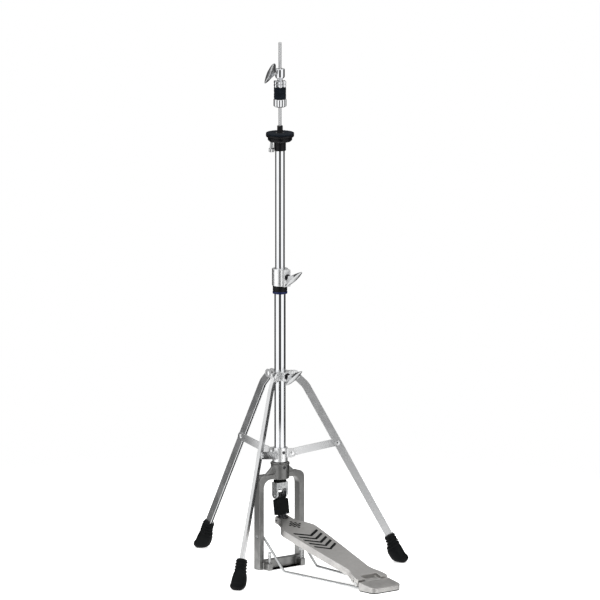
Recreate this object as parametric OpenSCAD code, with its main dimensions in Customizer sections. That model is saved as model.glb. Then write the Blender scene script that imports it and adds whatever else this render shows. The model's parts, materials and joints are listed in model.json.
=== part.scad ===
// Hi-hat stand: a tripod stand whose foot pedal pulls a rod down through the column.
// Millimetres, +Z up. The origin is on the floor under the column's axis; -Y is the player's side.

/* [Column] */
// Outer diameter of the lower tube
lower_tube_d = 22.2; // [22:0.1:22.4]
// Outer diameter of the upper tube
upper_tube_d = 19.05; // [18.95:0.05:19.15]
// Wall of both tubes
tube_wall = 1.2; // [1.1:0.05:1.3]
// Height of the lower tube's top end
lower_tube_top = 588; // [578:1:590]
// Height of the disc that carries the bottom cymbal
seat_top = 867; // [850:1:875]
// Furthest that the upper tube slides down
height_travel = 160; // [100:5:160]

/* [Pull rod and clutch] */
// Diameter of the pull rod
rod_d = 6; // [5.9:0.05:6.1]
// Height of the rod's top end
rod_top = 1047; // [1030:1:1060]
// Height of the clutch's bottom nut
clutch_bottom = 918.4; // [916:0.5:930]
// Diameter of the clutch felts
felt_d = 24; // [22:1:26]

/* [Legs] */
// Height of the three leg pivots
hub_z = 383; // [382:0.5:384]
// Radius of the circle of leg pivots
leg_pivot_r = 30; // [29:0.5:31]
// Slope of the leg below its bend, in degrees
leg_slope = 61.5; // [60:0.5:62]
// Radius at which the leg enters its foot
leg_end_r = 218; // [216:0.5:219]
// Height at which the leg enters its foot
leg_end_z = 54.5; // [53:0.5:56]
// Depth of the leg channel
leg_depth = 15.5; // [14:0.5:16]
// Width of the leg channel
leg_width = 6.5; // [6:0.1:6.6]
// Radius of the circle that the feet stand on
foot_circle_r = 239.5; // [238:0.5:241]

/* [Yoke] */
// Distance between the centres of the two posts
post_spacing = 102.8; // [102:0.2:104]
// Width of a post
post_w = 12; // [11:0.5:13]
// Depth of the posts and the arch
post_depth = 17; // [15:0.5:18]
// Height of the yoke's shoulders
shoulder_z = 188; // [186:1:190]
// How far the yoke and the pedal stand in front of the column's axis
pedal_setback = 3.5; // [2:0.5:4]

/* [Pedal] */
// Slope of the footboard at rest, in degrees
board_slope = 16.07; // [15.8:0.01:16.3]
// Height of the footboard's toe
toe_z = 103; // [102:0.5:104]
// Width across the footboard's shoulder
board_shoulder_w = 82; // [70:1:84]
// Width across the footboard's waist
board_waist_w = 52; // [48:1:56]
// Number of chevron grooves
chevrons = 5; // [3:1:6]

/* [Hidden] */
$fn = 64;

// running clearance on a radius, and the gap kept between pieces that move apart
run = 0.05;
gap = 0.3;

lower_r = lower_tube_d / 2;
upper_r = upper_tube_d / 2;
rod_r = rod_d / 2;
right_azimuth = -30;
left_azimuth = -150;
rear_azimuth = 90;
screw_azimuth = -100;

// heights along the column
lower_tube_bottom = 185;
boss_bottom = 177;
boss_top = 209.7;
collar_z = 227;
clamp_bottom = 562.6;
clamp_top = 596.6;
clamp_screw_z = 581;
hub_h = 17.5;
lowest_upper_end = 320;
upper_tube_bottom = lowest_upper_end + height_travel;
upper_tube_top = seat_top - 21;

// wing screws
wing_face_r = 23;
washer_t = 2;
wing_shank_r = 4;
shoe_r = 4;
shoe_hole_r = 4.1;
clutch_screw_r = 3;
wing_roll = 29;
clutch_wing_roll = 56;

// --- helpers -------------------------------------------------------------

// A ring or, with no inner radius, a disc between two heights
module ring(outer_r, inner_r, z0, z1)
  translate([0, 0, z0])
    difference() {
      cylinder(r = outer_r, h = z1 - z0);
      if (inner_r > 0) translate([0, 0, -1]) cylinder(r = inner_r, h = z1 - z0 + 2);
    }

// A cylinder whose axis runs from p to q
module bar(p, q, r) {
  d = q - p;
  across = norm([d[0], d[1]]);
  translate(p)
    rotate([0, atan2(across, d[2]), atan2(d[1], d[0])])
      cylinder(r = r, h = norm(d));
}

// Children drawn as (radius, height) become a plate from side offset t0 to t1
module radial_plate(azimuth, t0, t1)
  rotate([0, 0, azimuth])
    translate([0, t1, 0])
      rotate([90, 0, 0])
        linear_extrude(t1 - t0) children();

// Children drawn along +Z are placed to point outwards from the column
module outwards(azimuth, r, z)
  rotate([0, 0, azimuth])
    translate([r, 0, z])
      rotate([0, 90, 0])
        rotate([0, 0, 90]) children();

function arc(c, r, a0, a1, n = 10) =
  [for (i = [0:n]) c + r * [cos(a0 + (a1 - a0) * i / n), sin(a0 + (a1 - a0) * i / n)]];

function smooth(t) = t * t * (3 - 2 * t);

// A stadium from p to q with the given radius
module stadium(p, q, r) {
  d = q - p;
  translate(p) circle(r = r);
  translate(q) circle(r = r);
  translate(p) rotate(atan2(d[1], d[0])) translate([0, -r]) square([norm(d), 2 * r]);
}

function unit(v) = v / norm(v);

// Points of the round bend that replaces corner p between directions u and v
function bend_points(p, u, v, bend, n = 4) =
  let (turn = acos(u * v), z = unit(cross(u, v)), x = -cross(z, u),
       c = p - u * bend * tan(turn / 2) - bend * x)
  [for (i = [0:n]) c + bend * (x * cos(turn * i / n) + u * sin(turn * i / n))];

// A path through the corner points, with every corner rounded to the same radius
function rounded_path(p, bend) =
  let (last = len(p) - 1, way = [for (i = [0:last - 1]) unit(p[i + 1] - p[i])])
  concat([p[0]], [for (i = [1:last - 1]) each bend_points(p[i], way[i - 1], way[i], bend)], [p[last]]);

// One vector square to each tangent, carried along the path without twisting
function carried(tangents, side, i = 0) =
  i == len(tangents) ? [] :
  let (s = unit(side - (side * tangents[i]) * tangents[i])) concat([s], carried(tangents, s, i + 1));

// A round wire of radius r whose rings of points follow the path
module sweep(path, r, sides) {
  last = len(path) - 1;
  tangents = [for (i = [0:last]) unit(path[min(i + 1, last)] - path[max(i - 1, 0)])];
  normals = carried(tangents, [0.1, 0.2, 1]);
  points = [
    for (i = [0:last], j = [0:sides - 1])
      path[i] + r * (cos(360 * j / sides) * normals[i]
                     + sin(360 * j / sides) * cross(tangents[i], normals[i]))
  ];
  skin = [
    for (i = [0:last - 1], j = [0:sides - 1])
      let (a = i * sides + j, b = i * sides + (j + 1) % sides)
        each [[a, a + sides, b], [b, a + sides, b + sides]]
  ];
  first = [for (j = [0:sides - 1]) j];
  end = [for (j = [sides - 1:-1:0]) last * sides + j];
  polyhedron(points, concat([first, end], skin));
}

// A disc with round lobes on its rim, for fingers
module lobed_disc(core_r, lobe_r, lobes, h) {
  cylinder(r = core_r, h = h);
  for (i = [0:lobes - 1])
    rotate([0, 0, i * 360 / lobes])
      translate([core_r, 0, 0]) cylinder(r = lobe_r, h = h, $fn = 32);
}

// --- wing screws ---------------------------------------------------------

wing_half_span = 21;
wing_tip_r = 2.4;
wing_plate_t = 5;
wing_reach = 19.5;

// The cast wing: its axis is Z, its leaves spread along X, and its shank points down -Z
module wing(shank_r, shank_len) {
  translate([0, 0, -shank_len]) cylinder(r = shank_r, h = shank_len + 1);
  cylinder(r = 4.4, h = wing_reach - 3);
  rotate([90, 0, 0])
    translate([0, 0, -wing_plate_t / 2])
      linear_extrude(wing_plate_t) {
        polygon([
          [-4.4, 2.5], [-9, 5], [-18.8, 11], [-wing_half_span - 1.5, 14.5], [-wing_half_span, 17.8],
          [-10, wing_reach], [10, wing_reach],
          [wing_half_span, 17.8], [wing_half_span + 1.5, 14.5], [18.8, 11], [9, 5], [4.4, 2.5]
        ]);
        for (side = [-1, 1])
          translate([side * wing_half_span, 15.4]) circle(r = wing_tip_r, $fn = 32);
      }
}

// --- column --------------------------------------------------------------

module lower_tube()
  color("silver")
    difference() {
      ring(lower_r, lower_r - tube_wall, lower_tube_bottom, lower_tube_top);
      outwards(-90, 0, clamp_screw_z) cylinder(r = shoe_hole_r, h = 20);
    }

module tube_bushing()
  color("dimgray")
    difference() {
      union() {
        ring(14.3, 0, clamp_bottom - 16, clamp_bottom);
        ring(12.3, 0, clamp_bottom, lower_tube_top + 3);
      }
      translate([0, 0, clamp_bottom - 17]) cylinder(r = lower_r, h = lower_tube_top - clamp_bottom + 17);
      cylinder(r = upper_r + run, h = clamp_top);
      outwards(-90, 0, clamp_screw_z) cylinder(r = shoe_hole_r, h = 20);
    }

module height_clamp()
  color("silver")
    difference() {
      union() {
        ring(15.8, 0, clamp_bottom, clamp_top);
        translate([-8, -wing_face_r, clamp_bottom])
          cube([16, wing_face_r, clamp_top - clamp_bottom]);
      }
      translate([0, 0, clamp_bottom - 1]) cylinder(r = 12.3, h = lower_tube_top + 4 - clamp_bottom);
      cylinder(r = upper_r + 0.6, h = clamp_top + 1);
      outwards(-90, 0, clamp_screw_z) cylinder(r = wing_shank_r + run, h = wing_face_r + 1);
    }

// The nylon shoe that the screw presses against a tube of radius r
module shoe(r, length, z)
  difference() {
    outwards(-90, 0, z) cylinder(r = shoe_r, h = r + length);
    translate([0, 0, z - 10]) cylinder(r = r + run, h = 20);
  }

module clamp_shoe() color("whitesmoke") shoe(upper_r, 4.6, clamp_screw_z);

module wing_washer(z)
  outwards(-90, wing_face_r, z)
    difference() {
      cylinder(r = 6.5, h = washer_t);
      translate([0, 0, -1]) cylinder(r = wing_shank_r + run, h = washer_t + 2);
    }

module clamp_wing_washer() color("black") wing_washer(clamp_screw_z);

module front_wing(z, tip_r)
  outwards(-90, wing_face_r + washer_t + gap, z)
    rotate([0, 0, wing_roll])
      wing(wing_shank_r, wing_face_r + washer_t + gap - tip_r);

module clamp_wing() color("silver") front_wing(clamp_screw_z, upper_r + 5);

module upper_tube()
  color("silver")
    ring(upper_r, upper_r - tube_wall, upper_tube_bottom, upper_tube_top);

// --- cymbal seat ---------------------------------------------------------

seat_azimuth = 165;
seat_pivot_r = 19.5;
seat_pivot_z = seat_top - 12;
tilt_screw_r = 18;
nipple_r = 5.6;
nipple_bore_r = 4.6;
seat_bore_r = 8;

module seat_base()
  color("black")
    difference() {
      rotate_extrude()
        polygon([
          [0, seat_top - 35.3], [11.75, seat_top - 35.3], [11.75, seat_top - 17],
          [21, seat_top - 17], [24, seat_top - 14], [24, seat_top - 9.5], [23.5, seat_top - 9],
          [0, seat_top - 9]
        ]);
      cylinder(r = upper_r, h = upper_tube_top);
      cylinder(r = seat_bore_r, h = seat_top);
      rotate([0, 0, seat_azimuth]) {
        translate([-30, -5, seat_top - 20]) cube([30 - seat_pivot_r + 4, 10, 20]);
        translate([-seat_pivot_r, 8, seat_pivot_z]) rotate([90, 0, 0]) cylinder(r = 1.5, h = 16);
        translate([tilt_screw_r, 0, seat_top - 20]) cylinder(r = 2.75 + run, h = 20);
      }
    }

module seat_pivot_pin()
  color("silver")
    rotate([0, 0, seat_azimuth])
      translate([-seat_pivot_r, 8, seat_pivot_z]) rotate([90, 0, 0]) cylinder(r = 1.5, h = 16);

module seat_cup()
  color("black")
    difference() {
      union() {
        rotate_extrude()
          polygon([
            [0, seat_top - 8.3], [26.2, seat_top - 8.3], [27.4, seat_top - 7.1],
            [28, seat_top - 3.6], [9, seat_top - 3.6], [9, seat_top],
            [nipple_r, seat_top], [nipple_r, seat_top + 13.4], [nipple_r - 0.6, seat_top + 14],
            [0, seat_top + 14]
          ]);
        rotate([0, 0, seat_azimuth])
          translate([-seat_pivot_r, 4.7, 0]) rotate([90, 0, 0])
            linear_extrude(9.4) {
              translate([0, seat_pivot_z]) circle(r = 3.2);
              translate([-3.2, seat_pivot_z]) square([6.4, 4]);
            }
      }
      translate([0, 0, seat_top - 10]) cylinder(r = nipple_bore_r, h = 30);
      rotate([0, 0, seat_azimuth])
        translate([-seat_pivot_r, 8, seat_pivot_z])
          rotate([90, 0, 0]) cylinder(r = 1.5 + run, h = 16);
    }

module seat_felt() color("black") ring(27.7, 9.2, seat_top - 3.6, seat_top);

module tilt_screw()
  color("silver")
    rotate([0, 0, seat_azimuth])
      translate([tilt_screw_r, 0, 0])
        difference() {
          union() {
            ring(2.75, 0, seat_top - 30, seat_top - 8.6);
            ring(5.7, 0, seat_top - 37, seat_top - 30);
          }
          translate([-6, -0.6, seat_top - 38]) cube([12, 1.2, 2.5]);
        }

// --- pull rod ------------------------------------------------------------

coupler_z = 455;
collar_spring_z = 290;
travel_bottom = 186;

module pull_rod()
  color("silver")
    rotate_extrude()
      polygon([
        [0, coupler_z + 15], [rod_r, coupler_z + 15],
        [rod_r, rod_top - 1], [rod_r - 1, rod_top], [0, rod_top]
      ]);

module rod_coupler()
  color("goldenrod") ring(6, rod_r, coupler_z, coupler_z + 30);

module lower_rod()
  color("silver") ring(rod_r, 0, clevis_pin_z + 8, coupler_z + 15);

module spring_collar()
  color("dimgray") ring(8, rod_r, collar_spring_z, collar_spring_z + 8);

// The compression spring: a helix inside the lower tube
spring_turns = 9;
spring_steps = 18;
spring_wire_r = 1.2;
spring_mean_r = 7;
module return_spring() {
  z0 = travel_bottom + 1.3 * spring_wire_r;
  rise = collar_spring_z - gap - 1.3 * spring_wire_r - z0;
  n = spring_turns * spring_steps;
  path = [for (i = [0:n]) let (a = 360 * i / spring_steps)
    [spring_mean_r * cos(a), spring_mean_r * sin(a), z0 + rise * i / n]];
  color("silver") sweep(path, spring_wire_r, 6);
}

module bumper_ring() color("black") ring(12.75, 7, boss_bottom - 6.8, boss_bottom);

// --- clevis and chain ----------------------------------------------------

toe_pin_s = 4;
toe_pin_z = 95;
chain_pitch = 12.7;
chain_len = 4 * chain_pitch;
toe_pin_y = toe_pin_s + pedal_setback;
chain_lean = asin(toe_pin_y / chain_len);
clevis_pin_z = toe_pin_z + sqrt(pow(chain_len, 2) - pow(toe_pin_y, 2));
pin_r = 2;
pin_play = 0.75;
clevis_top = 169.9;
clevis_half_w = 14.5;

module clevis()
  color("gray")
    difference() {
      intersection() {
        translate([-clevis_half_w, -8, clevis_pin_z - 10])
          cube([2 * clevis_half_w, 16, clevis_top - clevis_pin_z + 10]);
        translate([-20, 0, 0]) rotate([90, 0, 90])
          linear_extrude(40) {
            translate([0, clevis_pin_z]) circle(r = 8);
            translate([-8, clevis_pin_z]) square([16, clevis_top - clevis_pin_z]);
          }
      }
      translate([-10, -9, clevis_pin_z - 11]) cube([20, 18, 23]);
      cylinder(r = rod_r, h = clevis_top + 1);
      translate([-20, 0, clevis_pin_z]) rotate([0, 90, 0]) cylinder(r = pin_r, h = 40);
    }

module rod_end_nut()
  color("silver")
    difference() {
      translate([0, 0, clevis_pin_z + 8]) cylinder(r = 5.6, h = 4, $fn = 6);
      cylinder(r = rod_r, h = clevis_top);
    }

module clevis_pin()
  color("silver")
    translate([0, 0, clevis_pin_z]) rotate([0, 90, 0]) {
      translate([0, 0, -clevis_half_w]) cylinder(r = pin_r, h = 2 * clevis_half_w);
      translate([0, 0, clevis_half_w]) cylinder(r = 3.2, h = 1.4);
      translate([0, 0, -clevis_half_w - 1.4]) cylinder(r = 3.2, h = 1.4);
    }

// Children are drawn hanging straight down from the clevis pin
module on_chain()
  translate([0, 0, clevis_pin_z]) rotate([-chain_lean, 0, 0]) children();

strand_x = 3.9;
plate_t = 0.9;
module chain_link(i) {
  side = i % 2 == 0 ? 2.0 : 3.0;
  r_top = i == 0 ? pin_r + run : 1.6;
  r_low = i == 3 ? pin_r + pin_play : 1.6;
  for (strand = [-strand_x, strand_x], s = [-1, 1])
    translate([strand + s * side - plate_t / 2, 0, -i * chain_pitch])
      rotate([90, 0, 90])
        linear_extrude(plate_t)
          difference() {
            stadium([0, 0], [0, -chain_pitch], 4.1);
            circle(r = r_top);
            translate([0, -chain_pitch]) circle(r = r_low);
          }
}

module chain_plates() color("dimgray") on_chain() for (i = [0:3]) chain_link(i);

module chain_pins()
  color("dimgray")
    on_chain()
      for (i = [1:3])
        translate([0, 0, -i * chain_pitch]) rotate([0, 90, 0]) {
          translate([0, 0, -8]) cylinder(r = 1.6, h = 16);
          for (strand = [-strand_x, strand_x])
            translate([0, 0, strand - 1.5]) cylinder(r = 3.4, h = 3);
        }

module chain_sleeve()
  color("black")
    on_chain()
      difference() {
        translate([0, 7, 0]) rotate([90, 0, 0])
          linear_extrude(14)
            polygon([
              [-14.5, -40.4], [14.5, -40.4], [14.5, -11], [13, -9.4], [9.4, -9.4],
              [9.4, -6], [-9.4, -6], [-9.4, -9.4], [-13, -9.4], [-14.5, -11]
            ]);
        translate([-8.4, -4.4, -42]) cube([16.8, 8.8, 50]);
      }

// --- yoke ----------------------------------------------------------------

post_x = post_spacing / 2;
post_out = post_x + post_w / 2;
post_in = post_x - post_w / 2;
yoke_y = 6 - pedal_setback;
arch_z = 178;
arch_r = 16;
shoulder_r = 14;
spur_x = 40.5;
spur_y = yoke_y - 19;
spur_r = 3;
rod_hole_z = 66;
wire_r = 2.5;
wire_bend = 5;

module yoke_outline()
  difference() {
    translate([-post_out, 0]) square([2 * post_out, shoulder_z]);
    for (side = [0, 1]) mirror([side, 0]) {
      difference() {
        translate([post_out - shoulder_r, shoulder_z - shoulder_r])
          square(shoulder_r + 1);
        translate([post_out - shoulder_r, shoulder_z - shoulder_r]) circle(r = shoulder_r);
      }
    }
    difference() {
      translate([-post_in, -1]) square([2 * post_in, arch_z + 1]);
      for (side = [0, 1]) mirror([side, 0])
        difference() {
          translate([post_in - arch_r, arch_z - arch_r]) square(arch_r + 1);
          translate([post_in - arch_r, arch_z - arch_r]) circle(r = arch_r);
        }
    }
  }

module yoke_frame()
  color("silver")
    difference() {
      union() {
        translate([0, yoke_y + post_depth / 2, 0]) rotate([90, 0, 0])
          linear_extrude(post_depth) yoke_outline();
        ring(18, 0, boss_bottom, boss_top - 3);
        ring(18.7, 0, boss_top - 3, boss_top);
        translate([0, 4.5, 0]) rotate([90, 0, 0])
          linear_extrude(7) polygon([[-44, shoulder_z - 6], [-17, 204], [17, 204], [44, shoulder_z - 6]]);
        translate([-post_in - 1, yoke_y - post_depth / 2, 0])
          cube([2 * post_in + 2, 12, 18.6]);
        for (side = [0, 1]) mirror([side, 0, 0])
          translate([36, spur_y - 5, 0]) cube([11, 18, 14]);
      }
      translate([0, 0, lower_tube_bottom]) cylinder(r = lower_r, h = 40);
      translate([0, 0, boss_bottom - 1]) cylinder(r = 7, h = 20);
      rotate([0, 0, screw_azimuth]) translate([0, 0, 201])
        rotate([0, 90, 0]) cylinder(r = 3, h = 25);
      for (side = [-1, 1]) {
        translate([side * spur_x, spur_y, -1]) cylinder(r = spur_r, h = 20);
        translate([side * post_x, yoke_y, rod_hole_z]) rotate([0, 90, 0])
          cylinder(r = wire_r + run, h = post_w + 2, center = true);
      }
    }

// A socket-headed set screw whose outer end stands at radius r
module set_screw(z, from_r, to_r)
  outwards(screw_azimuth, 0, z)
    difference() {
      translate([0, 0, from_r]) cylinder(r = 3, h = to_r - from_r);
      translate([0, 0, to_r - 2]) cylinder(r = 1.5, h = 3, $fn = 6);
    }

module yoke_key_screw() color("dimgray") set_screw(201, 11.3, 18.4);

module spur()
  difference() {
    union() {
      translate([0, 0, 0]) cylinder(r1 = 0.6, r2 = spur_r - run, h = 5);
      ring(spur_r - run, 0, 5, 31);
      ring(3.3, 0, 31, 36);
    }
    translate([-4, -0.6, 34]) cube([8, 1.2, 3]);
  }

module spur_right() color("silver") translate([spur_x, spur_y, 0]) spur();
module spur_left() color("silver") translate([-spur_x, spur_y, 0]) spur();

// --- legs ----------------------------------------------------------------

pivot_pin_r = 2.5;
cheek_t0 = leg_width / 2 + gap;
cheek_t = 2.5;

// Upper slope is 45 degrees; the bend lies where the two straight stretches meet
leg_knee_r = (leg_end_z + tan(leg_slope) * leg_end_r - hub_z - leg_pivot_r) / (tan(leg_slope) - 1);
leg_knee = [leg_knee_r, hub_z + leg_pivot_r - leg_knee_r];
leg_bend_r = 40;
leg_tail = 22;

// Outline of the channel between side lines d0 and d1, measured from the middle line outwards
function leg_line(d) =
  let (
    turn = leg_slope - 45,
    back = leg_bend_r * tan(turn / 2),
    start = [leg_pivot_r, hub_z],
    finish = [leg_end_r, leg_end_z] + leg_tail * [cos(leg_slope), -sin(leg_slope)],
    centre = leg_knee + back * [-cos(45), sin(45)] - leg_bend_r * [sin(45), cos(45)]
  )
  concat(
    [start + d * [sin(45), cos(45)]],
    arc(centre, leg_bend_r + d, 45, 45 - turn, 8),
    [finish + d * [sin(leg_slope), cos(leg_slope)]]
  );
function reversed(v) = [for (i = [len(v) - 1:-1:0]) v[i]];

module leg_outline(d0, d1) polygon(concat(leg_line(d0), reversed(leg_line(d1))));

stay_outer = [114.5, 244];
stay_inner = [23.3, collar_z];

module leg(azimuth) {
  half = leg_width / 2;
  difference() {
    union() {
      radial_plate(azimuth, -half, half) {
        leg_outline(-leg_depth / 2, leg_depth / 2);
        translate([leg_pivot_r, hub_z]) circle(r = leg_depth / 2);
      }
      radial_plate(azimuth, -half - 1.4, half)
        translate(stay_outer) circle(r = 4.2);
    }
    difference() {
      radial_plate(azimuth, -half + 1.5, half - 1.5) {
        leg_outline(-leg_depth / 2 - 1, leg_depth / 2 - 1.5);
        translate([leg_pivot_r, hub_z]) circle(r = leg_depth / 2 + 1);
      }
      radial_plate(azimuth, -half, half) translate(stay_outer) circle(r = 2.5);
    }
    radial_plate(azimuth, -half - 1, half + 1)
      translate([leg_pivot_r, hub_z]) circle(r = pivot_pin_r + run);
  }
}

// The rubber foot: a ribbed sleeve on the leg's end that swells into a boot standing on the floor
foot_rib_pitch = 4.4;
foot_body_r = 16.8;
foot_sole_r = 12.5;

module along_leg(s)
  translate([leg_end_r, 0, leg_end_z])
    rotate([0, 90 + leg_slope, 0]) translate([0, 0, s]) children();

module foot(azimuth)
  rotate([0, 0, azimuth])
    difference() {
      union() {
        along_leg(-6)
          rotate_extrude()
            polygon(concat(
              [[0, 0], [9, 0]],
              [for (i = [0:4]) let (z = foot_rib_pitch * i)
                each [[10.8, z + 1.4], [10.8, z + 3], [9.6, z + 3.8], [9.6, z + 5]]],
              [[10.8, 24], [0, 24]]
            ));
        hull() {
          along_leg(14) cylinder(r = 10.8, h = 1, $fn = 32);
          translate([foot_circle_r - 5.5, 0, 15]) cylinder(r = foot_body_r, h = 1, $fn = 32);
          translate([foot_circle_r - 1, 0, 5]) cylinder(r = foot_body_r, h = 1, $fn = 32);
          translate([foot_circle_r, 0, 0]) cylinder(r = foot_sole_r, h = 1, $fn = 32);
        }
      }
      along_leg(0)
        translate([-leg_depth / 2, -leg_width / 2, -10]) cube([leg_depth, leg_width, leg_tail + 10]);
    }

module leg_right() color("silver") leg(right_azimuth);
module leg_left() color("silver") leg(left_azimuth);
module leg_rear() color("silver") leg(rear_azimuth);
module foot_right() color("black") foot(right_azimuth);
module foot_left() color("black") foot(left_azimuth);
module foot_rear() color("black") foot(rear_azimuth);

module leg_hub()
  color("silver")
    difference() {
      union() {
        ring(17, 0, hub_z - hub_h / 2, hub_z + hub_h / 2);
        translate([-8, -wing_face_r, hub_z - hub_h / 2]) cube([16, wing_face_r, hub_h]);
        for (azimuth = [right_azimuth, left_azimuth, rear_azimuth], side = [0, 1])
          rotate([0, 0, azimuth]) mirror([0, side, 0])
            radial_plate(0, cheek_t0, cheek_t0 + cheek_t)
              stadium([10, hub_z], [leg_pivot_r, hub_z], hub_h / 2);
      }
      translate([0, 0, hub_z - hub_h]) cylinder(r = lower_r + 0.04, h = 2 * hub_h);
      outwards(-90, 0, hub_z) cylinder(r = wing_shank_r + run, h = wing_face_r + 1);
      for (azimuth = [right_azimuth, left_azimuth, rear_azimuth])
        radial_plate(azimuth, -10, 10)
          translate([leg_pivot_r, hub_z]) circle(r = pivot_pin_r);
    }

module leg_pivot_pins()
  color("gray")
    for (azimuth = [right_azimuth, left_azimuth, rear_azimuth]) {
      radial_plate(azimuth, -cheek_t0 - cheek_t, cheek_t0 + cheek_t)
        translate([leg_pivot_r, hub_z]) circle(r = pivot_pin_r);
      for (side = [-1, 1])
        radial_plate(azimuth, side * (cheek_t0 + cheek_t + 0.6) - 0.6, side * (cheek_t0 + cheek_t + 0.6) + 0.6)
          translate([leg_pivot_r, hub_z]) circle(r = 4.3);
    }

module hub_shoe() color("whitesmoke") shoe(lower_r, 3, hub_z);
module hub_wing_washer() color("black") wing_washer(hub_z);
module hub_wing() color("silver") front_wing(hub_z, lower_r + 3.4);

// --- stays ---------------------------------------------------------------

stay_t = 2.5;
stay_near = 1.3;
stay_far = leg_width / 2 + gap;
stay_w = 15;
ear_t0 = -4;
ear_t1 = stay_near - gap;

module stay_collar()
  color("silver")
    difference() {
      union() {
        ring(15, 0, collar_z - 16, collar_z + 12);
        for (azimuth = [right_azimuth, left_azimuth, rear_azimuth])
          radial_plate(azimuth, ear_t0, ear_t1)
            stadium([10, collar_z], stay_inner, 9);
      }
      translate([0, 0, collar_z - 20]) cylinder(r = lower_r, h = 40);
      outwards(screw_azimuth, 0, collar_z + 3) cylinder(r = 3, h = 20);
      for (azimuth = [right_azimuth, left_azimuth, rear_azimuth])
        radial_plate(azimuth, -10, 10) translate(stay_inner) circle(r = pivot_pin_r);
    }

module stay_collar_screw() color("dimgray") set_screw(collar_z + 3, 11.2, 15.6);

module stay_collar_rivets()
  color("gray")
    for (azimuth = [right_azimuth, left_azimuth, rear_azimuth]) {
      radial_plate(azimuth, ear_t0 - 1.3, ear_t0) translate(stay_inner) circle(r = 4.3);
      radial_plate(azimuth, ear_t0, stay_near + stay_t + gap)
        translate(stay_inner) circle(r = pivot_pin_r);
      radial_plate(azimuth, stay_near + stay_t + gap, stay_near + stay_t + gap + 1.3)
        translate(stay_inner) circle(r = 4.3);
    }

// A strip seen from its edge: it steps sideways between the collar's ear and the leg
module stay_side() {
  length = norm(stay_outer - stay_inner);
  step0 = 11;
  step1 = 20;
  polygon([
    [-stay_w, stay_near], [step0, stay_near], [step1, stay_far], [length + stay_w, stay_far],
    [length + stay_w, stay_far + stay_t], [step1 - 0.6, stay_far + stay_t],
    [step0 - 0.6, stay_near + stay_t], [-stay_w, stay_near + stay_t]
  ]);
}

module stay(azimuth) {
  d = stay_outer - stay_inner;
  rotate([0, 0, azimuth])
    translate([stay_inner[0], 0, stay_inner[1]])
      rotate([0, -atan2(d[1], d[0]), 0]) {
        difference() {
          intersection() {
            translate([0, 0, -stay_w / 2]) linear_extrude(stay_w) stay_side();
            radial_plate(0, -1, 10) stadium([0, 0], [norm(d), 0], stay_w / 2);
          }
          radial_plate(0, -1, 10) circle(r = pivot_pin_r + run);
        }
        radial_plate(0, stay_far + stay_t, stay_far + stay_t + 1.4)
          translate([norm(d), 0]) circle(r = 4.2);
      }
}

module stay_right() color("silver") stay(right_azimuth);
module stay_left() color("silver") stay(left_azimuth);
module stay_rear() color("silver") stay(rear_azimuth);

// --- clutch --------------------------------------------------------------

thread_r = 4.8;
felt_h = 11.6;
felt_z = clutch_bottom + 16.1;
ring_z = felt_z + 2 * felt_h + gap;
clutch_body_z = ring_z + 12.6 + gap;
clutch_screw_z = clutch_body_z + 17.1;
clutch_body_r = 9.5;

module clutch_sleeve()
  color("silver")
    difference() {
      rotate_extrude()
        polygon(concat(
          [[0, clutch_bottom + 1.5], [thread_r, clutch_bottom + 1.5], [thread_r, clutch_body_z],
           [5, clutch_body_z], [5, clutch_body_z + 2.6]],
          arc([clutch_body_r - 5.5, clutch_body_z + 8.8], 5.5, -80, 0, 8),
          [[clutch_body_r, clutch_body_z + 22.6], [clutch_body_r - 0.8, clutch_body_z + 23.4],
           [0, clutch_body_z + 23.4]]
        ));
      cylinder(r = rod_r + 0.03, h = rod_top);
      outwards(180, 0, clutch_screw_z) cylinder(r = clutch_screw_r + run, h = 12);
    }

module clutch_felt_upper() color("black") ring(felt_d / 2, thread_r, felt_z + felt_h, felt_z + 2 * felt_h);
module clutch_felt_lower() color("black") ring(felt_d / 2, thread_r, felt_z, felt_z + felt_h);

module clutch_wing()
  color("silver")
    outwards(180, clutch_body_r + gap, clutch_screw_z)
      rotate([0, 0, clutch_wing_roll])
        wing(clutch_screw_r, clutch_body_r + gap - rod_r - gap);

module lock_ring(z)
  difference() {
    translate([0, 0, z]) lobed_disc(9.4, 3.6, 6, 6);
    cylinder(r = thread_r + run, h = rod_top);
  }

module lock_ring_lower() color("silver") lock_ring(ring_z);
module lock_ring_upper() color("silver") lock_ring(ring_z + 6 + gap);

module clutch_nut()
  color("silver")
    difference() {
      union() {
        translate([0, 0, clutch_bottom]) cylinder(r1 = 10.2, r2 = 11.6, h = 1.6);
        translate([0, 0, clutch_bottom + 1.6]) lobed_disc(10.6, 2.4, 8, 14.2);
      }
      cylinder(r = rod_r + 0.4, h = rod_top);
      translate([0, 0, clutch_bottom + 1.2]) cylinder(r = thread_r + run, h = 20);
    }

// --- pedal ---------------------------------------------------------------

hinge_s = 272;
hinge_z = 14;
board_t = 4;
skirt_depth = 13.5;
skirt_t = 3;
toe_half_w = 15;
board_end = 291;
notch_start = 275;
notch_half_w = 20.3;
hinge_pin_r = 2.5;
knuckle_r = 5.5;

// Distance down the slope, and height over it, of a point given by its distance s and height z
function along(s, z) = s * cos(board_slope) + (toe_z - z) * sin(board_slope);
function above(s, z) = s * sin(board_slope) - (toe_z - z) * cos(board_slope);

// Half the board's width at distance a from the toe: neck, shoulder, waist, flare
function board_half_w(a) =
  a < 14 ? toe_half_w :
  a < 60 ? toe_half_w + (board_shoulder_w / 2 - toe_half_w) * smooth((a - 14) / 46) :
  a < 244 ? board_shoulder_w / 2 - (board_shoulder_w - board_waist_w) / 2 * pow((a - 60) / 184, 1.25) :
  a < 284 ? board_waist_w / 2 + (38 - board_waist_w / 2) * smooth((a - 244) / 40) : 38;

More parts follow.
